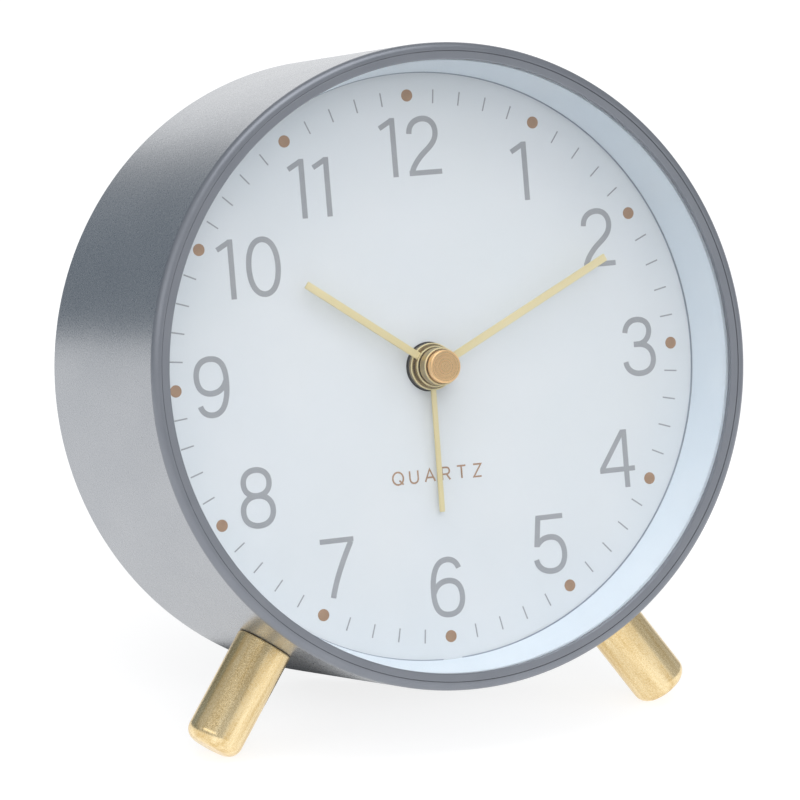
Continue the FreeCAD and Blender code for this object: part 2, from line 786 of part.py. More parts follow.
def tooth_outline(teeth, module):
    """Corners of a spur gear, three to a flank: root, pitch circle and tip of an involute."""
    pressure = math.radians(value_of("pressure_angle"))
    pitch_radius = teeth * module / 2
    base_radius = pitch_radius * math.cos(pressure)
    half_tooth = (math.pi / 2 - value_of("tooth_backlash")) / teeth
    radii = (
        pitch_radius - value_of("tooth_dedendum") * module,
        pitch_radius,
        pitch_radius + value_of("tooth_addendum") * module,
    )

    def half_angle(radius):
        roll = math.acos(min(1.0, base_radius / radius))
        flank = (math.tan(pressure) - pressure) - (math.tan(roll) - roll)
        return half_tooth + flank

    corners = []
    for index in range(teeth):
        middle = 2 * math.pi * index / teeth
        left_flank = [(radius, middle - half_angle(radius)) for radius in radii]
        right_flank = [(radius, middle + half_angle(radius)) for radius in reversed(radii)]
        corners += left_flank + right_flank
    return corners


def gear(label, teeth_name, module, front, rear, place, mate, gap_faces_mate):
    """A toothed disc at one arbor, with a tooth or a gap pointing at its mate's arbor."""
    teeth = int(value_of(teeth_name))
    x, y = (value_of(expression) for expression in place)
    mate_x, mate_y = (value_of(expression) for expression in mate)
    turn = math.atan2(mate_y - y, mate_x - x)
    if gap_faces_mate:
        turn += math.pi / teeth
    corners = [
        Vector(x + radius * math.cos(angle + turn), y + radius * math.sin(angle + turn),
               -value_of(rear))
        for radius, angle in tooth_outline(teeth, module)
    ]
    outline = Part.makePolygon(corners + corners[:1])
    feature = doc.addObject("Part::Feature", label)
    feature.Shape = Part.Face(outline).extrude(Vector(0, 0, value_of(f"({rear}) - ({front})")))
    return feature


def gear_pair(wheel, pinion, level, wheel_place, pinion_place):
    """The teeth of a wheel and of the pinion that it meshes with."""
    wheel_teeth = f"{wheel}_teeth"
    pinion_teeth = f"{pinion}_teeth"
    first = Vector(*(value_of(expression) for expression in wheel_place), 0)
    second = Vector(*(value_of(expression) for expression in pinion_place), 0)
    tooth_sum = value_of(f"{wheel_teeth} + {pinion_teeth}")
    module = 2 * first.distanceToPoint(second) / tooth_sum
    front, rear = f"{level}_front", f"{level}_rear"
    wheel_gear = gear(f"{wheel}_rim", wheel_teeth, module, front, rear,
                      wheel_place, pinion_place, False)
    pinion_gear = gear(f"{pinion}_rim", pinion_teeth, module, f"{front} - pinion_overhang",
                       f"{rear} + pinion_overhang", pinion_place, wheel_place, True)
    return wheel_gear, pinion_gear


def make_train():
    alarm_rim, alarm_pinion = gear_pair("alarm_wheel", "alarm_pinion", "alarm_wheel",
                                        CENTRE, ALARM_ARBOR)
    hour_rim, minute_pinion = gear_pair("hour_wheel", "minute_pinion", "hour_wheel",
                                        CENTRE, TIME_ARBOR)
    minute_rim, cannon_pinion = gear_pair("minute_wheel", "cannon_pinion", "minute_wheel",
                                          TIME_ARBOR, CENTRE)
    centre_rim, third_pinion = gear_pair("centre_wheel", "third_pinion", "centre_wheel",
                                         CENTRE, THIRD_ARBOR)
    third_rim, seconds_pinion = gear_pair("third_wheel", "seconds_pinion", "third_wheel",
                                          THIRD_ARBOR, CENTRE)
    seconds_rim, intermediate_pinion = gear_pair("seconds_wheel", "intermediate_pinion",
                                                 "seconds_wheel", CENTRE, INTERMEDIATE_ARBOR)
    intermediate_rim, rotor_rim = gear_pair("intermediate_wheel", "rotor_pinion",
                                            "intermediate_wheel", INTERMEDIATE_ARBOR, ROTOR_ARBOR)

    def pipe(label, rim, radius, bore, front, rear):
        """A wheel on a pipe along the centre, bored right through."""
        barrel = disc(f"{label}_barrel", radius, front, rear)
        hollow = disc(f"{label}_bore", bore, front, rear)
        sub_part(cut(label, fuse(f"{label}_solid", [rim, barrel]), [hollow]))

    pipe("alarm_wheel", alarm_rim, "alarm_pipe_radius", "hour_pipe_radius + running_gap",
         "dial_front - alarm_hub_top", "alarm_wheel_rear")
    pipe("hour_wheel", hour_rim, "hour_pipe_radius", "minute_pipe_radius + running_gap",
         "dial_front - hour_hub_top", "hour_wheel_rear")
    pipe("minute_pipe", cannon_pinion, "minute_pipe_radius", "seconds_post_radius + running_gap",
         "dial_front - minute_hub_top", "minute_pipe_rear")
    hollow = disc("centre_wheel_bore", "minute_pipe_radius + running_gap",
                  "centre_wheel_front", "centre_wheel_rear")
    sub_part(cut("centre_wheel", centre_rim, [hollow]))
    post = disc("seconds_post", "seconds_post_radius", "dial_front - cap_bore_top",
                "rear_plate_rear")
    sub_part(fuse("seconds_wheel", [seconds_rim, seconds_pinion, post]))

    def arbor(label, rims, place):
        """A wheel and pinion on a thin arbor that runs from plate to plate."""
        staff = disc(f"{label}_staff", "pivot_radius", "front_plate_front + pivot_recess",
                     "rear_plate_rear - pivot_recess", *place)
        sub_part(fuse(label, rims + [staff]))

    arbor("third_wheel", [third_rim, third_pinion], THIRD_ARBOR)
    arbor("intermediate_wheel", [intermediate_rim, intermediate_pinion], INTERMEDIATE_ARBOR)
    arbor("rotor_pinion", [rotor_rim], ROTOR_ARBOR)

    def setting_arbor(label, rims, shoulder, place):
        """A stout arbor that carries a knob behind the rear cover."""
        pivot = disc(f"{label}_pivot", "setting_pivot_radius", "front_plate_front + pivot_recess",
                     shoulder, *place)
        staff = disc(f"{label}_staff", "setting_arbor_radius", shoulder,
                     "setting_arbor_rear", *place)
        sub_part(fuse(label, rims + [pivot, staff]))

    setting_arbor("minute_wheel", [minute_rim, minute_pinion],
                  "minute_wheel_front - minute_arbor_step", TIME_ARBOR)
    setting_arbor("alarm_setting_arbor", [alarm_pinion],
                  "alarm_wheel_front", ALARM_ARBOR)

    ring = disc("friction_ring", "friction_washer_radius", "friction_washer_front",
                "friction_washer_rear")
    hollow = disc("friction_bore", "alarm_pipe_radius + 2 * running_gap", "friction_washer_front",
                  "friction_washer_rear")
    sub_part(cut("alarm_friction_washer", ring, [hollow]))
    contact_low = "contact_spring_y - contact_spring_half_width"
    contact_high = "contact_spring_y + contact_spring_half_width"
    strip = block("contact_strip", "contact_spring_left", "contact_spring_right",
                  contact_low, contact_high, "contact_spring_front", "contact_spring_rear")
    anchor = block("contact_anchor", "contact_spring_left",
                   "contact_spring_left + contact_foot_length", contact_low, contact_high,
                   "front_plate_rear", "contact_spring_front")
    sub_part(fuse("alarm_contact_spring", [strip, anchor]))


# Hands.

def make_hand(name, pipe_radius, minutes, minutes_per_turn):
    """A parallel blade from a pressed-on hub, turned to the time it shows."""
    top = f"dial_front - {name}_hub_top"
    low = f"dial_front - {name}_hub_low"
    hub = disc(f"{name}_hub", f"{name}_hub_radius", top, low)
    blade = doc.addObject("Part::Box", f"{name}_blade")
    bind(blade, "Length", f"{name}_hand_width")
    bind(blade, "Width", f"{name}_hand_length")
    bind(blade, "Height", "hand_thickness")
    angle = -360 * value_of(minutes) / minutes_per_turn
    turn = Rotation(Vector(0, 0, 1), angle)
    corner = turn.multVec(Vector(-value_of(f"{name}_hand_width") / 2, 0, 0))
    blade.Placement = Placement(corner, turn)
    bind(blade, "Placement.Base.z", f"-({low}) + hand_blade_rise")
    bore = disc(f"{name}_bore", f"{pipe_radius} + hub_press_gap", top, low)
    sub_part(cut(f"{name}_hand", fuse(f"{name}_hand_solid", [hub, blade]), [bore]))


def make_hands():
    make_hand("alarm", "alarm_pipe_radius", "alarm_time_minutes", 720)
    make_hand("hour", "hour_pipe_radius", "shown_time_minutes", 720)
    make_hand("minute", "minute_pipe_radius", "shown_time_minutes", 60)
    bore = "seconds_post_radius + hub_press_gap"
    cap = revolved("centre_cap", [
        (bore, "dial_front - cap_low"),
        ("cap_radius", "dial_front - cap_low"),
        ("cap_radius", "dial_front - cap_top"),
        ("0", "dial_front - cap_top"),
        ("0", "dial_front - cap_bore_top"),
        (bore, "dial_front - cap_bore_top"),
    ])
    round_edges(cap, "cap_round", [("cap_radius", "-(dial_front - cap_top)")])
    sub_part(cap)


# Electrics.

def make_electrics():
    board = block("board_blank", "-board_half_width", "board_half_width",
                  "board_low", "board_high", "board_front", "board_rear")
    holes = [
        disc("board_hole", "board_hole_radius", "board_front", "board_rear", x, y)
        for x, y in BOSSES
    ]
    sub_part(cut("circuit_board", board, holes))
    chip = disc("chip_body", "chip_radius", "board_front - chip_height", "board_front",
                "chip_x", "boss_y")
    sub_part(group("ic_chip", [chip]))
    crystal = rod("crystal_can", "crystal_radius", "crystal_x", "crystal_x + crystal_length",
                  "boss_y", "board_front - crystal_radius")
    sub_part(group("quartz_crystal", [crystal]))
    buzzer = disc("buzzer_case", "buzzer_radius", "buzzer_front", "buzzer_rear", "0", "buzzer_y")
    sub_part(group("buzzer", [buzzer]))
    dome = disc("dome_disc", "dome_radius", "board_rear", "board_rear + dome_height",
                "button_x", "button_y")
    sub_part(group("snooze_dome", [dome]))


# Controls on the rear.

def make_knob(label, place):
    blank = revolved(f"{label}_blank", [
        ("0", "setting_arbor_rear + running_gap"),
        ("setting_arbor_radius + hub_press_gap", "setting_arbor_rear + running_gap"),
        ("setting_arbor_radius + hub_press_gap", "knob_front"),
        ("knob_radius", "knob_front"),
        ("knob_radius", "knob_rear"),
        ("0", "knob_rear"),
    ])
    round_edges(blank, "knob_edge_round", [("knob_radius", "-knob_rear")])
    locate(blank, *place, "0")
    flutes = []
    for index in range(int(value_of("knob_flute_count"))):
        x, y = polar("(knob_radius + knob_flute_radius / 2)",
                     f"({index} * 360 / knob_flute_count)", place)
        flutes.append(disc("knob_flute", "knob_flute_radius", "knob_front", "knob_rear", x, y))
    sub_part(cut(label, blank, flutes))


def make_controls():
    make_knob("time_set_knob", TIME_ARBOR)
    make_knob("alarm_set_knob", ALARM_ARBOR)

    def slider_block(label, half_width, half_height, front, rear):
        return block(label, f"slider_x - {half_width}", f"slider_x + {half_width}",
                     f"slider_y - {half_height}", f"slider_y + {half_height}", front, rear)

    plate_rear = "cover_front - slider_gap"
    knob_front = "cover_rear + slider_gap"
    sub_part(fuse("alarm_switch_slider", [
        slider_block("slider_leg", "slider_neck_half", "slider_neck_half",
                     "wiper_rear", "slider_plate_front"),
        slider_block("slider_plate", "slider_plate_half_width", "slider_plate_half_height",
                     "slider_plate_front", plate_rear),
        slider_block("slider_neck", "slider_neck_half", "slider_neck_half",
                     plate_rear, knob_front),
        slider_block("slider_knob", "slider_knob_half_width", "slider_knob_half_height",
                     knob_front, "slider_knob_rear"),
    ]))
    strip = slider_block("wiper_strip", "wiper_half_width", "wiper_half_height",
                         "wiper_front", "wiper_rear")
    tips = []
    for start in ("-wiper_half_height", "wiper_half_height - wiper_tip_height"):
        tips.append(block("wiper_tip", "slider_x - wiper_half_width",
                          "slider_x + wiper_half_width", f"slider_y + {start}",
                          f"slider_y + {start} + wiper_tip_height",
                          "board_rear + running_gap", "wiper_front"))
    sub_part(fuse("switch_wiper", [strip] + tips))

    place = ("button_x", "button_y")
    flange_rear = "cover_front - button_flange_gap"
    stem_front = "board_rear + dome_height + button_travel + running_gap"
    sub_part(fuse("snooze_button", [
        disc("button_stem", "button_stem_radius", stem_front, "button_flange_front", *place),
        disc("button_flange", "button_flange_radius", "button_flange_front", flange_rear, *place),
        disc("button_cap", "button_radius", flange_rear, "button_rear", *place),
    ]))


# Standing on the table.

def lean_angle():
    """The angle at which the feet and the rear edge of the case are equally low."""
    spread = math.cos(math.radians(value_of("foot_angle")))
    reach = value_of("case_radius + foot_length - foot_end_round")
    flat = value_of("foot_radius - foot_end_round")

    def height_difference(lean):
        along = spread * math.cos(lean)
        foot = reach * along + value_of("foot_depth") * math.sin(lean)
        foot += flat * math.sqrt(1 - along ** 2) + value_of("foot_end_round")
        rear = value_of("case_radius - case_rear_round") * math.cos(lean)
        rear += value_of("case_depth - case_rear_round") * math.sin(lean)
        rear += value_of("case_rear_round")
        return foot - rear

    low, high = 0.0, math.radians(40)
    while high - low > 1e-9:
        middle = (low + high) / 2
        if height_difference(middle) > 0:
            low = middle
        else:
            high = middle
    return math.degrees(middle)


def stand_on_table():
    """Lean every sub-part back and move the bottom centre of their common box to the origin."""
    upright = Rotation(Vector(1, 0, 0), 90)
    lean = Rotation(Vector(1, 0, 0), -lean_angle())
    turn = lean.multiply(upright)
    for feature in sub_parts:
        feature.Placement = Placement(Vector(), turn)
    doc.recompute()
    box = FreeCAD.BoundBox()
    for feature in sub_parts:
        box.add(feature.Shape.optimalBoundingBox(False, False))
    offset = Vector(-box.Center.x, -box.Center.y, -box.ZMin)
    for feature in sub_parts:
        feature.Placement = Placement(offset, turn)


def check_document():
    for feature in doc.Objects:
        if "Invalid" in feature.State or "Error" in feature.State:
            raise RuntimeError(f"{feature.Label} failed: {feature.State}")
    for feature in sub_parts:
        if feature.Shape.isNull() or not feature.Shape.isValid():
            raise RuntimeError(f"{feature.Label} has no valid shape")


make_case()
make_front()
make_inner_frame()
make_feet()
make_rear_cover()
screw_group("rear_cover_screws", POSTS, "cover_screw_radius", ("cover_screw_front", "cover_rear"),
            "cover_screw_head_radius", ("cover_rear", "cover_rear + cover_screw_head_height"))
make_battery_door()
make_battery()
make_movement_plates()
screw_group("movement_screws", PILLARS, "movement_screw_radius",
            ("movement_screw_front", "rear_plate_rear"), "movement_screw_head_radius",
            ("rear_plate_rear", "rear_plate_rear + movement_screw_head_height"))
make_motor()
make_train()
make_hands()
make_electrics()
screw_group("circuit_board_screws", BOSSES, "board_screw_radius",
            ("board_front", "board_screw_rear"), "board_screw_head_radius",
            ("board_front - board_screw_head_height", "board_front"))
make_controls()
doc.recompute()
stand_on_table()
doc.recompute()
check_document()

os.makedirs("parts", exist_ok=True)
for feature in sub_parts:
    feature.Shape.exportStep(os.path.join("parts", f"{feature.Label}.step"))
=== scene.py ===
"""Looks for a round desk alarm clock on two brass feet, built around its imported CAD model.

The clock's sizes are in millimetres in its own frame: X to the right as the dial is read, Y up
the dial and Z out of the face, from the centre of the front rim. The stage around it is in metres
in the shared frame.
"""

import json
import math

import bmesh
import bpy
from mathutils import Matrix, Vector


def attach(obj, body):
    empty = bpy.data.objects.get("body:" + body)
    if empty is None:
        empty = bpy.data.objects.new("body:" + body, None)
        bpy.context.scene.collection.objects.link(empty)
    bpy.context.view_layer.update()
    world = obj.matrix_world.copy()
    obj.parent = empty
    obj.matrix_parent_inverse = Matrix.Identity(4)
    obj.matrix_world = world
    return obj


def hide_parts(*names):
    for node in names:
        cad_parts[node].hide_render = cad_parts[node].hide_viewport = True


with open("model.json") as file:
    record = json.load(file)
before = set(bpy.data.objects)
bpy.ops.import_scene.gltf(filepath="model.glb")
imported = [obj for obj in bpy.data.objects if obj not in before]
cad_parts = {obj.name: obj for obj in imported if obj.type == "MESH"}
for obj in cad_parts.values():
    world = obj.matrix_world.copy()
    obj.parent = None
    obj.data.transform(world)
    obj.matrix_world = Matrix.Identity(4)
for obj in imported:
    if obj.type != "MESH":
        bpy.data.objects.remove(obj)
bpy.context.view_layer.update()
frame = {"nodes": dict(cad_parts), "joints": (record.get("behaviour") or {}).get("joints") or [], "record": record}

MM = 0.001
TURN_STEPS = 288
ARC_STEPS = 6
CURVE_STEPS = 10
SMOOTH_ANGLE = math.radians(35)
TINY = 1e-6
STROKE_RISE = 0.3
SHARPEST_MITRE = 0.5
BEVEL_STEPS = 2


# The clock's frame, and where the CAD parts are in it.

def named(rows, name):
    return next(row for row in rows if row["name"] == name)


def clock_place():
    axle = named(frame["joints"], "seconds_turn")
    face = named(frame["record"]["mounts"], "face_down_rest")
    out = Vector(axle["axis"]).normalized()
    on_axle = Vector(axle["pos_m"])
    right = Vector((1, 0, 0))
    place = Matrix((right, out.cross(right), out)).transposed().to_4x4()
    place.translation = on_axle + out * out.dot(Vector(face["pos_m"]) - on_axle)
    return place


CLOCK = clock_place()


def extent(node):
    """The lowest and highest corners of a CAD node in the clock's frame, in mm."""
    back = CLOCK.inverted()
    points = [back @ vertex.co / MM for vertex in frame["nodes"][node].data.vertices]
    low = Vector([min(point[axis] for point in points) for axis in range(3)])
    high = Vector([max(point[axis] for point in points) for axis in range(3)])
    return low, high


# Shapes.

def rounded(corners):
    """Points through closed outline corners; a corner's third number is its rounding radius."""
    points = []
    for index, corner in enumerate(corners):
        here = Vector(corner[:2])
        if len(corner) == 2:
            points.append(here)
            continue
        radius = corner[2]
        back = (Vector(corners[index - 1][:2]) - here).normalized()
        ahead = (Vector(corners[(index + 1) % len(corners)][:2]) - here).normalized()
        half = back.angle(ahead) / 2
        middle = here + (back + ahead).normalized() * radius / math.sin(half)
        start = (here + back * radius / math.tan(half) - middle).normalized()
        end = (here + ahead * radius / math.tan(half) - middle).normalized()
        for step in range(ARC_STEPS + 1):
            points.append(middle + start.slerp(end, step / ARC_STEPS) * radius)
    return points


def add_turned(mesh, outline, steps=TURN_STEPS):
    """A closed outline of (radius, height), turned about Z."""
    rings = []
    for radius, height in outline:
        if radius < TINY:
            rings.append([mesh.verts.new((0, 0, height))] * steps)
            continue
        ring = []
        for step in range(steps):
            angle = 2 * math.pi * step / steps
            place = (radius * math.cos(angle), radius * math.sin(angle), height)
            ring.append(mesh.verts.new(place))
        rings.append(ring)
    for ring, following in zip(rings, rings[1:] + rings[:1]):
        for step in range(steps):
            after = (step + 1) % steps
            corners = [ring[step], ring[after], following[after], following[step]]
            corners = list(dict.fromkeys(corners))
            if len(corners) > 2:
                mesh.faces.new(corners)


def add_prism(mesh, outline, low, high):
    """A flat outline, given in order, made solid from one height to another."""
    bottom = [mesh.verts.new((x, y, low)) for x, y in outline]
    top = [mesh.verts.new((x, y, high)) for x, y in outline]
    mesh.faces.new(top)
    mesh.faces.new(bottom[::-1])
    for index in range(len(outline)):
        before = index - 1
        mesh.faces.new((bottom[before], bottom[index], top[index], top[before]))


def add_stroke(mesh, points, width, low, high):
    """A line of one width along points; it is a loop if the last point is the first.

    It rises a little along its length, so that where it crosses itself one part lies on top.
    """
    points = [Vector(point) for point in points]
    loop = (points[0] - points[-1]).length < TINY
    if loop:
        points = points[:-1]
    rows = []
    for index, point in enumerate(points):
        before = points[index - 1] if loop or index else None
        after = points[(index + 1) % len(points)] if loop or index + 1 < len(points) else None
        coming = (point - before).normalized() if before is not None else None
        going = (after - point).normalized() if after is not None else None
        along = ((coming or going) + (going or coming)).normalized()
        across = Vector((-along.y, along.x))
        bend = along.dot(coming or going)
        across *= width / 2 / max(bend, SHARPEST_MITRE)
        left = point + across
        right = point - across
        top = high + (high - low) * STROKE_RISE * index / len(points)
        rows.append([
            mesh.verts.new((left.x, left.y, low)),
            mesh.verts.new((right.x, right.y, low)),
            mesh.verts.new((right.x, right.y, top)),
            mesh.verts.new((left.x, left.y, top)),
        ])
    joined = zip(rows, rows[1:] + rows[:1]) if loop else zip(rows, rows[1:])
    for row, following in joined:
        for side in range(4):
            after = (side + 1) % 4
            mesh.faces.new((row[side], row[after], following[after], following[side]))
    if not loop:
        mesh.faces.new(rows[0][::-1])
        mesh.faces.new(rows[-1])


def walk(path):
    """Points along a path: its start, then (x, y) for a line or six numbers for a curve."""
    points = [Vector(path[0])]
    for step in path[1:]:
        if len(step) == 2:
            points.append(Vector(step))
            continue
        start = points[-1]
        first, second, end = Vector(step[:2]), Vector(step[2:4]), Vector(step[4:])
        for index in range(1, CURVE_STEPS + 1):
            t = index / CURVE_STEPS
            s = 1 - t
            place = start * s ** 3 + first * 3 * s * s * t + second * 3 * s * t * t + end * t ** 3
            points.append(place)
    return points


def arc(radius, start, end, centre=(0, 0), steps=24):
    """Points on an arc; angles are in degrees, anticlockwise from X."""
    points = []
    for step in range(steps + 1):
        angle = math.radians(start + (end - start) * step / steps)
        place = (centre[0] + radius * math.cos(angle), centre[1] + radius * math.sin(angle))
        points.append(place)
    return points


def piece(name, mesh, body, finish_name, place=None, replaces=()):
    """Finish a mesh drawn in mm, put it at place and let it ride on a CAD body."""
    bmesh.ops.remove_doubles(mesh, verts=mesh.verts, dist=TINY)
    bmesh.ops.recalc_face_normals(mesh, faces=mesh.faces)
    bmesh.ops.scale(mesh, vec=(MM, MM, MM), verts=mesh.verts)
    data = bpy.data.meshes.new(name)
    mesh.to_mesh(data)
    mesh.free()
    data.polygons.foreach_set("use_smooth", [True] * len(data.polygons))
    data.set_sharp_from_angle(angle=SMOOTH_ANGLE)
    thing = bpy.data.objects.new(name, data)
    bpy.context.scene.collection.objects.link(thing)
    thing.matrix_world = CLOCK if place is None else place
    thing.modifiers.new("flat_faces_stay_flat", "WEIGHTED_NORMAL").keep_sharp = True
    data.materials.append(MATERIALS[finish_name])
    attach(thing, body)
    if replaces:
        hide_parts(*replaces)
    return thing


def turned(name, corners, body, finish_name, place=None, replaces=()):
    mesh = bmesh.new()
    add_turned(mesh, rounded(corners))
    return piece(name, mesh, body, finish_name, place, replaces)


# Materials. Each has a colour that varies, a roughness that varies, and a grain in relief.

PATCH_DETAIL = 4
PATCH_MIDDLE = 0.5
PATCH_SPREAD = 0.25
GRAIN_DETAIL = 2
GRAIN_LOW = 0.3
GRAIN_HIGH = 0.7


def finish(name, dark, light, metallic=0.0, rough=(0.35, 0.5), patch=4.0, grain=0.3,
           relief=0.01, contrast=1.0, stretch=(1, 1, 1), brushed=False, spun=False, coat=0.0,
           speckle=0.0):
    """patch and grain are sizes in mm, and relief is the grain's depth in mm.

    stretch under 1 draws the patches out along that axis, and the grain too if brushed. A spun
    finish has rings about its Z axis. speckle lets the grain into the colour.
    """
    material = bpy.data.materials.new(name)
    material.use_nodes = True
    nodes = material.node_tree.nodes
    link = material.node_tree.links.new
    shader = nodes["Principled BSDF"]
    shader.inputs["Metallic"].default_value = metallic
    shader.inputs["Coat Weight"].default_value = coat
    coordinates = nodes.new("ShaderNodeTexCoord")
    mapping = nodes.new("ShaderNodeMapping")
    mapping.inputs["Scale"].default_value = stretch
    link(coordinates.outputs["Object"], mapping.inputs["Vector"])
    place = mapping.outputs["Vector"]
    if spun:
        flat = nodes.new("ShaderNodeVectorMath")
        flat.operation = "MULTIPLY"
        flat.inputs[1].default_value = (1, 1, 0)
        link(place, flat.inputs[0])
        radius = nodes.new("ShaderNodeVectorMath")
        radius.operation = "LENGTH"
        link(flat.outputs["Vector"], radius.inputs[0])
        around = nodes.new("ShaderNodeCombineXYZ")
        link(radius.outputs["Value"], around.inputs["X"])
        place = around.outputs["Vector"]

    def noise(size, detail, at):
        texture = nodes.new("ShaderNodeTexNoise")
        texture.inputs["Scale"].default_value = 1 / (size * MM)
        texture.inputs["Detail"].default_value = detail
        link(at, texture.inputs["Vector"])
        return texture.outputs["Fac"]

    def between(value, low, high, out_low, out_high):
        spread = nodes.new("ShaderNodeMapRange")
        spread.inputs["From Min"].default_value = low
        spread.inputs["From Max"].default_value = high
        spread.inputs["To Min"].default_value = out_low
        spread.inputs["To Max"].default_value = out_high
        link(value, spread.inputs["Value"])
        return spread.outputs["Result"]

    spread = PATCH_SPREAD / contrast
    patches = noise(patch, PATCH_DETAIL, place)
    patches = between(patches, PATCH_MIDDLE - spread, PATCH_MIDDLE + spread, 0, 1)
    grains = noise(grain, GRAIN_DETAIL,
                   place if brushed or spun else coordinates.outputs["Object"])
    if speckle:
        mixed = nodes.new("ShaderNodeMath")
        mixed.operation = "MULTIPLY_ADD"
        link(between(grains, GRAIN_LOW, GRAIN_HIGH, -speckle, speckle), mixed.inputs[0])
        mixed.inputs[1].default_value = 1
        link(patches, mixed.inputs[2])
        patches = mixed.outputs["Value"]
    ramp = nodes.new("ShaderNodeValToRGB")
    ramp.color_ramp.elements[0].color = (*dark, 1)
    ramp.color_ramp.elements[1].color = (*light, 1)
    link(patches, ramp.inputs["Fac"])
    link(ramp.outputs["Color"], shader.inputs["Base Color"])
    link(between(grains, GRAIN_LOW, GRAIN_HIGH, *rough), shader.inputs["Roughness"])
    bump = nodes.new("ShaderNodeBump")
    bump.inputs["Distance"].default_value = relief * MM
    link(grains, bump.inputs["Height"])
    link(bump.outputs["Normal"], shader.inputs["Normal"])
    return material


def clear_glass(name):
    """A thin clear pane with a faint tint that varies."""
    material = finish(name, (0.975, 0.985, 1.0), (1, 1, 1), rough=(0.0, 0.002), patch=20,
                      grain=12, relief=0.0)
    shader = material.node_tree.nodes["Principled BSDF"]
    shader.inputs["Transmission Weight"].default_value = 1
    shader.inputs["IOR"].default_value = 1.45
    return material


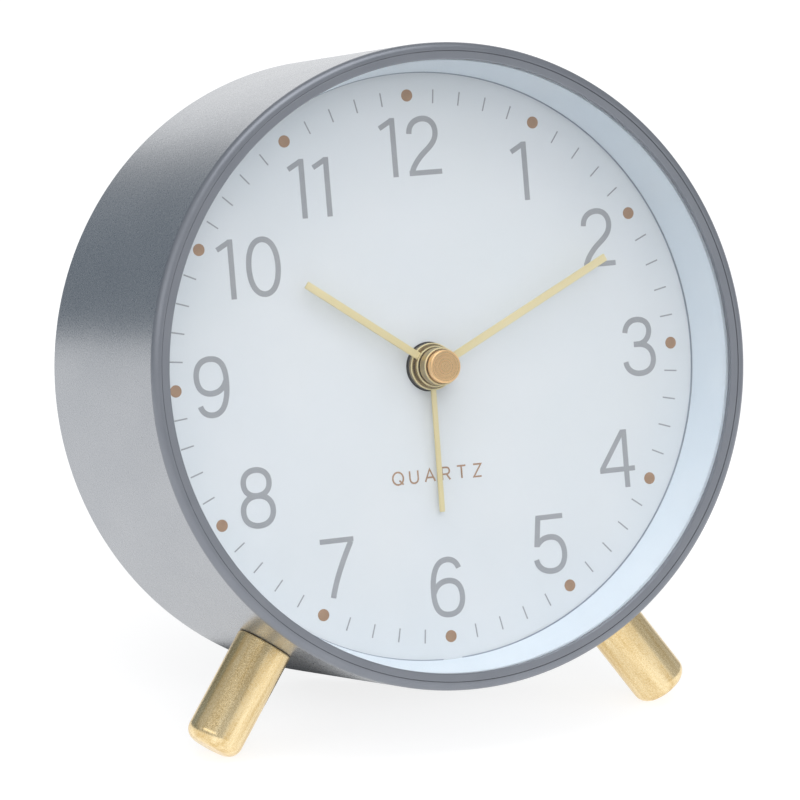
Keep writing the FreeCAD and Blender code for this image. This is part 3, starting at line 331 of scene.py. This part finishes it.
MATERIALS = {
    "case_paint": finish("case_paint", (0.335, 0.352, 0.38), (0.38, 0.395, 0.42), metallic=0.75,
                         rough=(0.25, 0.32), patch=9, grain=0.36, relief=0.010,
                         stretch=(1, 1, 0.45), speckle=0.5),
    "bezel_paint": finish("bezel_paint", (0.225, 0.24, 0.272), (0.25, 0.265, 0.297), metallic=0.6,
                          rough=(0.34, 0.42), patch=6, grain=0.2, relief=0.004, speckle=0.2),
    "glass": clear_glass("glass"),
    "reveal_paint": finish("reveal_paint", (0.68, 0.76, 0.83), (0.72, 0.79, 0.85),
                           rough=(0.3, 0.42), patch=12, grain=0.35, relief=0.004),
    "dial_paint": finish("dial_paint", (0.66, 0.70, 0.725), (0.69, 0.72, 0.745),
                         rough=(0.5, 0.62), patch=15, grain=0.25, relief=0.003, speckle=0.2),
    # Painted shadow: the dark blue-grey of the thin ring along the reveal ring's rear edge on the dial.
    "edge_shadow_paint": finish("edge_shadow_paint", (0.30, 0.345, 0.42), (0.34, 0.385, 0.46),
                              rough=(0.5, 0.6), patch=4, grain=0.2, relief=0.0),
    "numeral_print": finish("numeral_print", (0.30, 0.315, 0.335), (0.33, 0.342, 0.36),
                            rough=(0.5, 0.6), patch=3, grain=0.15, relief=0.002),
    "copper_print": finish("copper_print", (0.33, 0.20, 0.12), (0.40, 0.25, 0.155),
                           metallic=0.2, rough=(0.4, 0.55), patch=1, grain=0.1, relief=0.002),
    # The feet's colour runs in long streaks along the bars, random in place. It is partly brushed patina and
    # partly a painted reflection, standing in for the streaky reflections along the feet.
    "antique_brass": finish("antique_brass", (0.72, 0.52, 0.24), (1.0, 0.82, 0.50), metallic=0.85,
                            rough=(0.2, 0.3), patch=1.1, grain=0.22, relief=0.008,
                            contrast=1.2, stretch=(1, 1, 0.09), speckle=0.3),
    "gold_hand": finish("gold_hand", (0.76, 0.66, 0.36), (0.86, 0.76, 0.47), metallic=0.6,
                        rough=(0.38, 0.52), patch=3, grain=0.12, relief=0.003,
                        stretch=(1, 0.15, 1), brushed=True),
    # Painted shade: the hub plates are darker than the blades' gold, standing in for the shade the stacked hubs
    # cast on each other.
    "hub_plate": finish("hub_plate", (0.34, 0.26, 0.13), (0.50, 0.39, 0.21), metallic=1,
                        rough=(0.2, 0.32), patch=0.5, grain=0.1, relief=0.003, spun=True),
    "copper_cap": finish("copper_cap", (0.92, 0.56, 0.26), (1.0, 0.68, 0.34), metallic=1,
                         rough=(0.22, 0.36), patch=0.35, grain=0.1, relief=0.004, spun=True),
    "black_plastic": finish("black_plastic", (0.018, 0.018, 0.02), (0.028, 0.028, 0.03),
                            rough=(0.38, 0.55), patch=5, grain=0.28, relief=0.014),
    "grey_plastic": finish("grey_plastic", (0.20, 0.205, 0.215), (0.235, 0.24, 0.25),
                           rough=(0.35, 0.5), patch=5, grain=0.25, relief=0.01),
    "white_plastic": finish("white_plastic", (0.70, 0.70, 0.68), (0.78, 0.78, 0.76),
                            rough=(0.32, 0.45), patch=6, grain=0.3, relief=0.006),
    "zinc_screw": finish("zinc_screw", (0.50, 0.50, 0.50), (0.66, 0.66, 0.65), metallic=1,
                         rough=(0.25, 0.42), patch=0.8, grain=0.12, relief=0.006),
    "steel": finish("steel", (0.42, 0.42, 0.43), (0.56, 0.56, 0.57), metallic=1,
                    rough=(0.22, 0.38), patch=2, grain=0.15, relief=0.003,
                    stretch=(1, 0.2, 1), brushed=True),
    "lamination": finish("lamination", (0.22, 0.225, 0.235), (0.36, 0.365, 0.375), metallic=1,
                         rough=(0.35, 0.55), patch=0.35, grain=0.12, relief=0.006,
                         stretch=(0.1, 1, 1), brushed=True),
    "ferrite": finish("ferrite", (0.03, 0.03, 0.033), (0.055, 0.053, 0.05), metallic=0.3,
                      rough=(0.5, 0.7), patch=1, grain=0.12, relief=0.008, speckle=0.3),
    "copper_wire": finish("copper_wire", (0.42, 0.15, 0.05), (0.74, 0.33, 0.14), metallic=1,
                          rough=(0.25, 0.4), patch=0.15, grain=0.12, relief=0.02,
                          stretch=(1, 0.05, 0.05), brushed=True),
    "gear_plastic": finish("gear_plastic", (0.68, 0.62, 0.46), (0.76, 0.70, 0.54),
                           rough=(0.3, 0.42), patch=4, grain=0.2, relief=0.004),
    "board": finish("board", (0.02, 0.10, 0.035), (0.04, 0.19, 0.06), rough=(0.25, 0.4),
                    patch=1.5, grain=0.2, relief=0.006, contrast=2.5),
    "chip_epoxy": finish("chip_epoxy", (0.012, 0.012, 0.013), (0.03, 0.03, 0.032),
                         rough=(0.2, 0.4), patch=1.2, grain=0.3, relief=0.015),
    "crystal_can": finish("crystal_can", (0.58, 0.58, 0.57), (0.72, 0.72, 0.71), metallic=1,
                          rough=(0.2, 0.32), patch=2, grain=0.15, relief=0.003,
                          stretch=(1, 0.1, 1), brushed=True),
    "phosphor_bronze": finish("phosphor_bronze", (0.50, 0.30, 0.14), (0.66, 0.43, 0.22),
                              metallic=1, rough=(0.28, 0.42), patch=2.5, grain=0.15,
                              relief=0.003, stretch=(0.15, 1, 1), brushed=True),
    "nickel_spring": finish("nickel_spring", (0.46, 0.45, 0.42), (0.62, 0.61, 0.58), metallic=1,
                            rough=(0.2, 0.34), patch=0.7, grain=0.12, relief=0.004),
    "cell_wrap": finish("cell_wrap", (0.03, 0.13, 0.11), (0.045, 0.17, 0.145), rough=(0.16, 0.28),
                        patch=8, grain=0.6, relief=0.006, coat=0.5),
    "buzzer_case": finish("buzzer_case", (0.022, 0.022, 0.024), (0.04, 0.04, 0.043),
                          rough=(0.3, 0.45), patch=2, grain=0.2, relief=0.008),
}

for node in frame["nodes"].values():
    for holder in node.material_slots:
        holder.material = MATERIALS[holder.material.name.split(".")[0]]


# Case, bezel, lens and reveal ring.

CASE_LOW, CASE_HIGH = extent("case_shell")
CASE_RADIUS = CASE_HIGH.x
CASE_WALL = 1.0
CASE_REAR_ROUND = 0.48
LIP_RADIUS = 43.8
LIP_DEPTH = 1.2
RIM_JOIN = -LIP_DEPTH + 0.1
RIM_ROUND = 1.05
RING_FIT = 43.95
LENS_LOW, LENS_HIGH = extent("lens")
DIAL_FACE = extent("dial")[1].z

turned("case_turned_shell", [
    (CASE_RADIUS - CASE_WALL, CASE_LOW.z),
    (CASE_RADIUS, CASE_LOW.z, CASE_REAR_ROUND),
    (CASE_RADIUS, RIM_JOIN),
    (CASE_RADIUS - CASE_WALL, RIM_JOIN),
], "clock_body", "case_paint", replaces=["case_shell"])
# The case's own front rounding takes the darker bezel finish: painted shade, so that the rim reads darker than the
# case side.
turned("case_front_rim", [
    (LIP_RADIUS, RIM_JOIN),
    (CASE_RADIUS, RIM_JOIN),
    (CASE_RADIUS, 0, RIM_ROUND),
    (LIP_RADIUS, 0),
], "clock_body", "bezel_paint")

BEZEL_INNER = 42.6
BEZEL_OUTER = LIP_RADIUS - 0.02
BEZEL_INNER_ROUND = 0.18
BEZEL_OUTER_ROUND = 0.16
BEZEL_SLACK = 0.05
turned("front_bezel", [
    (BEZEL_INNER, 0, BEZEL_INNER_ROUND),
    (BEZEL_OUTER, 0, BEZEL_OUTER_ROUND),
    (BEZEL_OUTER, -LIP_DEPTH - BEZEL_SLACK),
    (RING_FIT, -LIP_DEPTH - BEZEL_SLACK),
    (RING_FIT, LENS_LOW.z),
    (LENS_HIGH.x + BEZEL_SLACK, LENS_LOW.z),
    (LENS_HIGH.x + BEZEL_SLACK, LENS_HIGH.z),
    (BEZEL_INNER, LENS_HIGH.z),
], "clock_body", "bezel_paint", replaces=["bezel_ring"])

LENS_AIR = 0.02
LENS_THICKNESS = 1
LENS_ROUND = 0.1
LENS_FRONT = LENS_HIGH.z - LENS_AIR
LENS_BACK = LENS_FRONT - LENS_THICKNESS
lens = turned("front_lens", [
    (0, LENS_BACK),
    (LENS_HIGH.x, LENS_BACK, LENS_ROUND),
    (LENS_HIGH.x, LENS_FRONT, LENS_ROUND),
    (0, LENS_FRONT),
], "clock_body", "glass", replaces=["lens"])
lens.visible_shadow = False

REVEAL_FRONT = 42.55
REVEAL_REAR = 41.35
REVEAL_WALL = 0.6
REVEAL_GAP = 0.26
REVEAL_FRONT_ROUND = 0.03
REVEAL_REAR_ROUND = 0.1
FLANGE_DEPTH = 3.5
TAB_HALF_WIDTH = 1.45
reveal = bmesh.new()
add_turned(reveal, rounded([
    (REVEAL_FRONT, LENS_BACK - LENS_AIR, REVEAL_FRONT_ROUND),
    (RING_FIT, LENS_BACK - LENS_AIR),
    (RING_FIT, -FLANGE_DEPTH),
    (REVEAL_FRONT + REVEAL_WALL, -FLANGE_DEPTH),
    (REVEAL_REAR + REVEAL_WALL, DIAL_FACE + REVEAL_GAP),
    (REVEAL_REAR, DIAL_FACE + REVEAL_GAP, REVEAL_REAR_ROUND),
]), steps=2 * TURN_STEPS)
for vertex in reveal.verts:
    in_tab = abs(vertex.co.x) < TAB_HALF_WIDTH and vertex.co.y < 0
    if in_tab and vertex.co.z < DIAL_FACE + 2 * REVEAL_GAP:
        vertex.co.z -= REVEAL_GAP
piece("reveal_cone", reveal, "clock_body", "reveal_paint", replaces=["reveal_ring"])

PRINT_TOP = DIAL_FACE + 0.02
PRINT_STEP = 0.008
# A thin dark blue-grey ring on the dial along the reveal ring's rear edge, broken at the tab: painted shadow,
# standing in for the shade where the reveal ring meets the dial.
EDGE_SHADOW_WIDTH = 0.2
NOTCH_DEGREES = 2
edge_shadow_ring = bmesh.new()
edge_start = -90 + NOTCH_DEGREES
edge_end = 270 - NOTCH_DEGREES
edge_path = arc(REVEAL_REAR, edge_start, edge_end, steps=TURN_STEPS)
add_stroke(edge_shadow_ring, edge_path, EDGE_SHADOW_WIDTH, DIAL_FACE, PRINT_TOP)
piece("dial_edge_painted_shadow", edge_shadow_ring, "clock_body", "edge_shadow_paint")


# Dial markings, printed on the dial. A digit's points are in mm from its own middle.

STEM = 0.8
BAR = 0.72
SQUARENESS = 0.61


def oval(x, y, half_width, half_height, squareness=SQUARENESS):
    a = squareness * half_width
    b = squareness * half_height
    return [
        (x, y + half_height),
        (x + a, y + half_height, x + half_width, y + b, x + half_width, y),
        (x + half_width, y - b, x + a, y - half_height, x, y - half_height),
        (x - a, y - half_height, x - half_width, y - b, x - half_width, y),
        (x - half_width, y + b, x - a, y + half_height, x, y + half_height),
    ]


def half_turn(path):
    return [tuple(-number for number in step) for step in path]


SIX = [
    (1.98, 2.55), (1.75, 3.4, 1.1, 3.88, 0.25, 3.88), (-1.4, 3.88, -2.15, 2.2, -2.15, -0.6),
    (-2.15, -2.8, -1.5, -3.88, 0.1, -3.88), (1.5, -3.88, 2.25, -2.9, 2.25, -1.45),
    (2.25, 0, 1.5, 0.9, 0.2, 0.9), (-0.9, 0.9, -1.7, 0.3, -2.05, -0.7),
]
DIGITS = {
    "0": [(STEM, oval(0, 0, 2.18, 3.8))],
    "1": [(STEM, [(0, -4.15), (0, 4.15)]), (BAR, [(-2.0, 2.8), (-0.15, 3.8)])],
    "2": [
        (STEM, [(-2.13, 1.75), (-2.13, 2.95, -1.25, 3.77, 0, 3.77),
                (1.15, 3.77, 1.9, 2.95, 1.9, 1.8), (1.9, 0.2, 0.3, -0.6, -0.5, -1.4),
                (-1.3, -2.2, -1.9, -3.0, -2.1, -3.8)]),
        (BAR, [(-2.5, -3.8), (2.5, -3.8)]),
    ],
    "3": [
        (STEM, [(-2.03, 2.0), (-1.9, 3.1, -1.1, 3.78, -0.1, 3.78),
                (1.1, 3.78, 1.8, 3.15, 1.8, 2.2), (1.8, 1.2, 1.1, 0.3, 0, 0.25), (-0.75, 0.25)]),
        (STEM, [(0, 0.25), (1.3, 0.2, 2.2, -0.6, 2.2, -1.9),
                (2.2, -3.2, 1.3, -3.95, -0.05, -3.95), (-1.2, -3.95, -2.1, -3.3, -2.23, -2.15)]),
    ],
    "4": [
        (STEM, [(1.5, -4.15), (1.5, 4.15)]),
        (BAR, [(-2.7, -1.5), (2.85, -1.5)]),
        (BAR, [(1.28, 4.0), (-2.35, -1.3)]),
    ],
    "5": [
        (BAR, [(-1.85, 3.78), (2.35, 3.78)]),
        (STEM, [(-1.49, 3.9), (-2.0, -0.33)]),
        (STEM, [(-1.9, -0.1), (-1.4, 0.6, -0.7, 0.92, 0.15, 0.92),
                (1.5, 0.92, 2.25, -0.1, 2.25, -1.5), (2.25, -3.0, 1.5, -3.93, 0.1, -3.93),
                (-1.1, -3.93, -2.05, -3.3, -2.22, -2.15)]),
    ],
    "6": [(STEM, SIX)],
    "7": [(BAR, [(-2.55, 3.8), (2.55, 3.8)]),
          (STEM, [(2.12, 3.5), (0.75, 1.0, -0.55, -1.6, -1.17, -4.15)])],
    "8": [(STEM, oval(0.12, 2.0, 1.92, 1.8)), (STEM, oval(0.12, -1.88, 2.22, 2.07))],
    "9": [(STEM, half_turn(SIX))],
}
NUMERALS = [
    ("1", -2.62, 31.0), ("2", 1.98, 31.0), ("1", 17.35, 26.3), ("2", 27.9, 16.0), ("3", 33.0, 0),
    ("4", 28.0, -15.85), ("5", 16.4, -26.75), ("6", 0, -31.2), ("7", -16.2, -26.7),
    ("8", -27.6, -15.7), ("9", -32.75, 0.1), ("1", -28.42, 16.0), ("0", -23.7, 16.0),
    ("1", -16.85, 26.3), ("1", -13.1, 26.3),
]


def write(mesh, strokes, x, y, size=1, width=None):
    """Print strokes about (x, y), each a little higher than the one before it."""
    for order, (pen, path) in enumerate(strokes):
        points = [point * size + Vector((x, y)) for point in walk(path)]
        add_stroke(mesh, points, width or pen, DIAL_FACE, PRINT_TOP + PRINT_STEP * order)


numerals = bmesh.new()
for digit, x, y in NUMERALS:
    write(numerals, DIGITS[digit], x, y)
piece("dial_numerals", numerals, "clock_body", "numeral_print")

MARK_START = 37.0
MARK_END = 38.95
MARK_WIDTH = 0.2
DOT_CIRCLE = 38.15
DOT_RADIUS = 0.85
DOT_STEPS = 48
marks = bmesh.new()
dots = bmesh.new()
for minute in range(60):
    angle = math.radians(6 * minute)
    outward = Vector((math.sin(angle), math.cos(angle)))
    if minute % 5:
        add_stroke(marks, [outward * MARK_START, outward * MARK_END], MARK_WIDTH, DIAL_FACE,
                   PRINT_TOP)
    else:
        ring = arc(DOT_RADIUS, 0, 360, outward * DOT_CIRCLE, steps=DOT_STEPS)
        add_prism(dots, ring[:-1], DIAL_FACE, PRINT_TOP)
piece("dial_minute_marks", marks, "clock_body", "numeral_print")
piece("dial_hour_dots", dots, "clock_body", "copper_print")

# A letter is one unit high.
WORD = "QUARTZ"
WORD_Y = -15.25
LETTER_HEIGHT = 1.75
LETTER_STEP = 2.45
LETTER_PEN = 0.24
LETTERS = {
    "Q": [(1, oval(0, 0, 0.46, 0.5, 0.56)), (1, [(0.1, -0.16), (0.44, -0.52)])],
    "U": [(1, [(-0.36, 0.5), (-0.36, -0.1), (-0.36, -0.36, -0.2, -0.5, 0, -0.5),
               (0.2, -0.5, 0.36, -0.36, 0.36, -0.1), (0.36, 0.5)])],
    "A": [(1, [(-0.43, -0.5), (0, 0.5), (0.43, -0.5)]), (1, [(-0.27, -0.17), (0.27, -0.17)])],
    "R": [(1, [(-0.32, -0.5), (-0.32, 0.5), (0.05, 0.5), (0.42, 0.5, 0.42, -0.04, 0.05, -0.04),
               (-0.32, -0.04)]), (1, [(0.05, -0.04), (0.36, -0.5)])],
    "T": [(1, [(-0.38, 0.5), (0.38, 0.5)]), (1, [(0, 0.5), (0, -0.5)])],
    "Z": [(1, [(-0.34, 0.5), (0.34, 0.5), (-0.34, -0.5), (0.34, -0.5)])],
}
word = bmesh.new()
for index, letter in enumerate(WORD):
    x = (index - (len(WORD) - 1) / 2) * LETTER_STEP
    write(word, LETTERS[letter], x, WORD_Y, LETTER_HEIGHT, LETTER_PEN)
piece("dial_word", word, "clock_body", "copper_print")


# Hands, hubs and cap.

SHOWN_MINUTES = 610.7
ALARM_MINUTES = 361.0
BLADE_THICKNESS = 0.35
BLADE_RISE = 0.25
BLADE_BEVEL = 0.07
BLADE_START = 1.8
HUB_RIM = 0.09
HUB_LOW_ROUND = 0.08
HUB_TOP_ROUND = 0.05


def hand(name, body, angle, length, width, hub_radius, bore_radius, hub_low, hub_top):
    """A flat blade with square ends on a round hub; angle is clockwise from twelve.

    hub_low and hub_top are heights above the dial.
    """
    place = CLOCK @ Matrix.Rotation(math.radians(-angle), 4, "Z")
    low = DIAL_FACE + hub_low
    top = DIAL_FACE + hub_top
    blade = bmesh.new()
    half = width / 2
    outline = [(-half, BLADE_START), (half, BLADE_START), (half, length), (-half, length)]
    add_prism(blade, outline, low + BLADE_RISE, low + BLADE_RISE + BLADE_THICKNESS)
    bmesh.ops.bevel(blade, geom=blade.edges[:], offset=BLADE_BEVEL, segments=BEVEL_STEPS,
                    affect="EDGES")
    piece(name + "_blade", blade, body, "gold_hand", place, [name])
    # The hub is in the dark hub_plate finish: painted shade between the stacked hubs.
    turned(name + "_hub", [
        (bore_radius, low),
        (hub_radius, low, HUB_LOW_ROUND),
        (hub_radius, top - HUB_RIM, HUB_TOP_ROUND),
        (bore_radius, top - HUB_RIM),
    ], body, "hub_plate", place)
    # A thin ring on the hub's edge in the paler blade gold: a painted highlight along the rim.
    turned(name + "_hub_rim", [
        (hub_radius - 2 * HUB_RIM, top - 2 * HUB_RIM),
        (hub_radius, top - 2 * HUB_RIM),
        (hub_radius, top, HUB_TOP_ROUND),
        (hub_radius - 2 * HUB_RIM, top, HUB_TOP_ROUND),
    ], body, "gold_hand", place)


hand("alarm_hand", "alarm_hand_body", ALARM_MINUTES / 2, length=20.5, width=0.75,
     hub_radius=3.33, bore_radius=2.16, hub_low=0.53, hub_top=1.4)
hand("hour_hand", "hour_hand_body", SHOWN_MINUTES / 2, length=22.5, width=1.05,
     hub_radius=2.9, bore_radius=1.56, hub_low=1.6, hub_top=2.5)
hand("minute_hand", "minute_hand_body", SHOWN_MINUTES * 6, length=30.3, width=1.1,
     hub_radius=2.65, bore_radius=1.01, hub_low=2.75, hub_top=4.6)

CAP_LOW, CAP_HIGH = extent("centre_cap")
CAP_BORE_RADIUS = 0.46
CAP_CROWN = 0.5
CAP_LOW_ROUND = 0.08
CAP_TOP_ROUND = 0.24
turned("hub_cap", [
    (CAP_BORE_RADIUS, CAP_LOW.z),
    (CAP_HIGH.x, CAP_LOW.z, CAP_LOW_ROUND),
    (CAP_HIGH.x, CAP_HIGH.z, CAP_TOP_ROUND),
    (0, CAP_HIGH.z),
    (0, CAP_HIGH.z - CAP_CROWN),
    (CAP_BORE_RADIUS, CAP_HIGH.z - CAP_CROWN),
], "seconds_body", "copper_cap", replaces=["centre_cap"])


# Feet: round bars whose roots follow the case.

FOOT_RADIUS = 4.08
FOOT_ANGLE = 35.4
FOOT_DEPTH = 15.6
FOOT_TIP = CASE_RADIUS + 16.4
FOOT_SADDLE = CASE_RADIUS + 0.04
FOOT_BORE_RADIUS = 1.5
FOOT_BORE_END = CASE_RADIUS + 9.0
FOOT_ROOT_ROUND = 0.3
FOOT_TIP_ROUND = 1.9
FOOT_ROOT_REACH = 0.5
FOOT_STEPS = 96

for name, side in (("foot_left", -1), ("foot_right", 1)):
    outline = rounded([
        (0, FOOT_BORE_END),
        (FOOT_BORE_RADIUS, FOOT_BORE_END),
        (FOOT_BORE_RADIUS, FOOT_SADDLE),
        (FOOT_RADIUS, FOOT_SADDLE, FOOT_ROOT_ROUND),
        (FOOT_RADIUS, FOOT_TIP, FOOT_TIP_ROUND),
        (0, FOOT_TIP),
    ])
    foot = bmesh.new()
    add_turned(foot, outline, FOOT_STEPS)
    for vertex in foot.verts:
        if vertex.co.z < FOOT_SADDLE + FOOT_ROOT_REACH:
            sag = FOOT_SADDLE - math.sqrt(FOOT_SADDLE ** 2 - vertex.co.x ** 2)
            vertex.co.z -= sag
    angle = math.radians(FOOT_ANGLE)
    along = Vector((side * math.sin(angle), -math.cos(angle), 0))
    depth_way = Vector((0, 0, 1))
    across = depth_way.cross(along)
    turn = Matrix((across, depth_way, along)).transposed().to_4x4()
    shift = Matrix.Translation(Vector((0, 0, -FOOT_DEPTH * MM)))
    piece(name + "_bar", foot, "clock_body", "antique_brass", CLOCK @ shift @ turn, [name])


# Back of the case: moulded signs and ribs.

BACK_FACE = -39.4
SIGN_HEIGHT = 0.2
SIGN_WIDTH = 0.55
ARROW_HALF_WIDTH = 1.1
ARROW_LENGTH = 2.0


def arrow_arc(mesh, centre, radius, start, end):
    """A raised arc with a head at its end."""
    add_stroke(mesh, arc(radius, start, end, centre), SIGN_WIDTH, BACK_FACE,
               BACK_FACE - SIGN_HEIGHT)
    way = 1 if end > start else -1
    angle = math.radians(end)
    outward = Vector((math.cos(angle), math.sin(angle)))
    forward = Vector((-outward.y, outward.x)) * way
    tip = Vector(centre) + outward * radius
    side = outward * ARROW_HALF_WIDTH
    head = [tip + side, tip - side, tip + forward * ARROW_LENGTH]
    add_prism(mesh, head, BACK_FACE - SIGN_HEIGHT, BACK_FACE)


KNOB_SIGN_RADIUS = 8.2
KNOB_SIGN_START = 10
KNOB_SIGN_END = 65
signs = bmesh.new()
for knob, way in (("time_set_knob", 1), ("alarm_set_knob", -1)):
    low, high = extent(knob)
    centre = ((low.x + high.x) / 2, (low.y + high.y) / 2)
    arrow_arc(signs, centre, KNOB_SIGN_RADIUS, 90 - way * KNOB_SIGN_START,
              90 + way * KNOB_SIGN_END)

SWITCH_SIGN_RADIUS = 1.1
SWITCH_SIGN_STEPS = 32
RING_WIDTH = 0.4
RING_Y = 22.8
DISC_Y = 9.4
SLIDER_LOW, SLIDER_HIGH = extent("alarm_switch_slider")
slider_x = (SLIDER_LOW.x + SLIDER_HIGH.x) / 2
ring = arc(SWITCH_SIGN_RADIUS, 0, 360, (slider_x, RING_Y), SWITCH_SIGN_STEPS)
disc = arc(SWITCH_SIGN_RADIUS, 0, 360, (slider_x, DISC_Y), SWITCH_SIGN_STEPS)[:-1]
add_stroke(signs, ring, RING_WIDTH, BACK_FACE, BACK_FACE - SIGN_HEIGHT)
add_prism(signs, disc, BACK_FACE - SIGN_HEIGHT, BACK_FACE)
piece("back_signs", signs, "clock_body", "grey_plastic")

DOOR_TOP = extent("battery_door")[1].y
RIB_COUNT = 6
RIB_INSET = 1.0
RIB_STEP = 0.9
RIB_HALF_WIDTH = 0.2
RIB_HALF_LENGTH = 6
RIB_TAPER = 0.5
RIB_HEIGHT = 0.25
RIB_BEVEL = 0.08
ribs = bmesh.new()
for index in range(RIB_COUNT):
    y = DOOR_TOP - RIB_INSET - index * RIB_STEP
    half = RIB_HALF_LENGTH - index * RIB_TAPER
    low, high = y - RIB_HALF_WIDTH, y + RIB_HALF_WIDTH
    outline = [(-half, low), (half, low), (half, high), (-half, high)]
    add_prism(ribs, outline, BACK_FACE - RIB_HEIGHT, BACK_FACE)
bmesh.ops.bevel(ribs, geom=ribs.edges[:], offset=RIB_BEVEL, segments=BEVEL_STEPS,
                affect="EDGES")
piece("battery_door_ribs", ribs, "battery_door_body", "black_plastic")


# Floor, cards seen only in reflections, lights, world and camera, in metres.

FLOOR_HALF = 8.0
FLOOR_GLOW = 0.8


def plain_mesh(name, corners, material):
    data = bpy.data.meshes.new(name)
    data.from_pydata(corners, [], [list(range(len(corners)))])
    data.materials.append(material)
    thing = bpy.data.objects.new(name, data)
    bpy.context.scene.collection.objects.link(thing)
    return thing


floor_paint = finish("floor_paint", (0.34, 0.34, 0.342), (0.36, 0.36, 0.36),
                     rough=(0.75, 0.85), patch=400, grain=3, relief=0.0)
floor_shader = floor_paint.node_tree.nodes["Principled BSDF"]
floor_shader.inputs["Emission Color"].default_value = (1, 1, 1, 1)
floor_shader.inputs["Emission Strength"].default_value = FLOOR_GLOW
floor_shader.inputs["Specular IOR Level"].default_value = 0
plain_mesh("floor", [
    (-FLOOR_HALF, -FLOOR_HALF, 0), (FLOOR_HALF, -FLOOR_HALF, 0),
    (FLOOR_HALF, FLOOR_HALF, 0), (-FLOOR_HALF, FLOOR_HALF, 0),
], floor_paint)


def card(name, corners, brightness, tint=(1, 1, 1)):
    """A card that shows only in reflections: black at brightness 0."""
    paint = finish(name, (0.02, 0.02, 0.02), (0.03, 0.03, 0.03), rough=(0.9, 1.0), patch=400,
                   grain=3, relief=0.0)
    shader = paint.node_tree.nodes["Principled BSDF"]
    shader.inputs["Emission Color"].default_value = (*tint, 1)
    shader.inputs["Emission Strength"].default_value = brightness
    thing = plain_mesh(name, corners, paint)
    thing.visible_camera = False
    thing.visible_diffuse = False
    thing.visible_shadow = False
    thing.visible_transmission = False


def standing(start, end, low, top):
    """An upright card from one (x, y) to another."""
    return [(*start, low), (*end, low), (*end, top), (*start, top)]


def lying(left, right, front, back, height):
    return [(left, front, height), (right, front, height), (right, back, height),
            (left, back, height)]


card("back_flag", standing((-1.2, 0.32), (-0.05, 0.32), 0, 0.28), 0.17, (0.75, 1, 1.25))
card("back_card", standing((0, 0.7), (0.6, 0.7), 0, 0.5), 1.2)
card("front_card", standing((0.15, -1.3), (1.3, -1.3), 0, 0.55), 0.9)
# A black card lying under the clock, seen only in reflections: a painted shadow that stands in for the clock's own
# shadow on the floor beneath it.
card("under_shadow_card", lying(-0.022, 0.02, -0.009, 0.09, 0.001), 0)
card("left_card", standing((-1.0, -0.1), (-0.5, -1.1), 0.38, 0.7), 1.7)

AIM = Vector((0, 0, 0.05))


def softbox(name, place, size, power, glossy=False):
    light = bpy.data.lights.new(name, "AREA")
    light.shape = "RECTANGLE"
    light.size, light.size_y = size
    light.energy = power
    thing = bpy.data.objects.new(name, light)
    thing.location = place
    thing.rotation_euler = (AIM - Vector(place)).to_track_quat("-Z", "Y").to_euler()
    thing.visible_camera = False
    thing.visible_glossy = glossy
    bpy.context.scene.collection.objects.link(thing)


softbox("top_light", (-0.1, -0.3, 1.5), (1.3, 1.0), 9, glossy=True)
softbox("front_light", (-0.3, -1.4, 1.1), (1.0, 1.0), 5.5)
softbox("left_light", (-1.0, -0.15, 1.1), (0.6, 0.9), 2)
softbox("right_light", (1.5, -1.0, 0.9), (0.8, 1.0), 3.2)

WORLD_COLOUR = (0.93, 0.96, 1.0, 1)
WORLD_STRENGTH = 0.45
world = bpy.data.worlds.new("studio")
bpy.context.scene.world = world
world.use_nodes = True
background = world.node_tree.nodes["Background"]
background.inputs["Color"].default_value = WORLD_COLOUR
background.inputs["Strength"].default_value = WORLD_STRENGTH
bpy.context.scene.view_settings.view_transform = "Standard"

# The camera's place is in mm in the clock's frame.
CAMERA_PLACE = Vector((-261.2, 23.71, 583.0))
CAMERA_VIEW = Vector((0.39647, -0.04329, -0.91703))
CAMERA_UP = Vector((0.09271, 0.99567, -0.00692))
SENSOR = 36.0
LENS = 207.55
camera_data = bpy.data.cameras.new("camera")
camera_data.sensor_width = SENSOR
camera_data.lens = LENS
camera_data.clip_start = 0.01
camera = bpy.data.objects.new("camera", camera_data)
bpy.context.scene.collection.objects.link(camera)
sight = CAMERA_VIEW.normalized()
rightward = sight.cross(CAMERA_UP).normalized()
turn = Matrix((rightward, rightward.cross(sight), -sight)).transposed().to_4x4()
camera.matrix_world = CLOCK @ Matrix.Translation(CAMERA_PLACE * MM) @ turn
bpy.context.scene.camera = camera
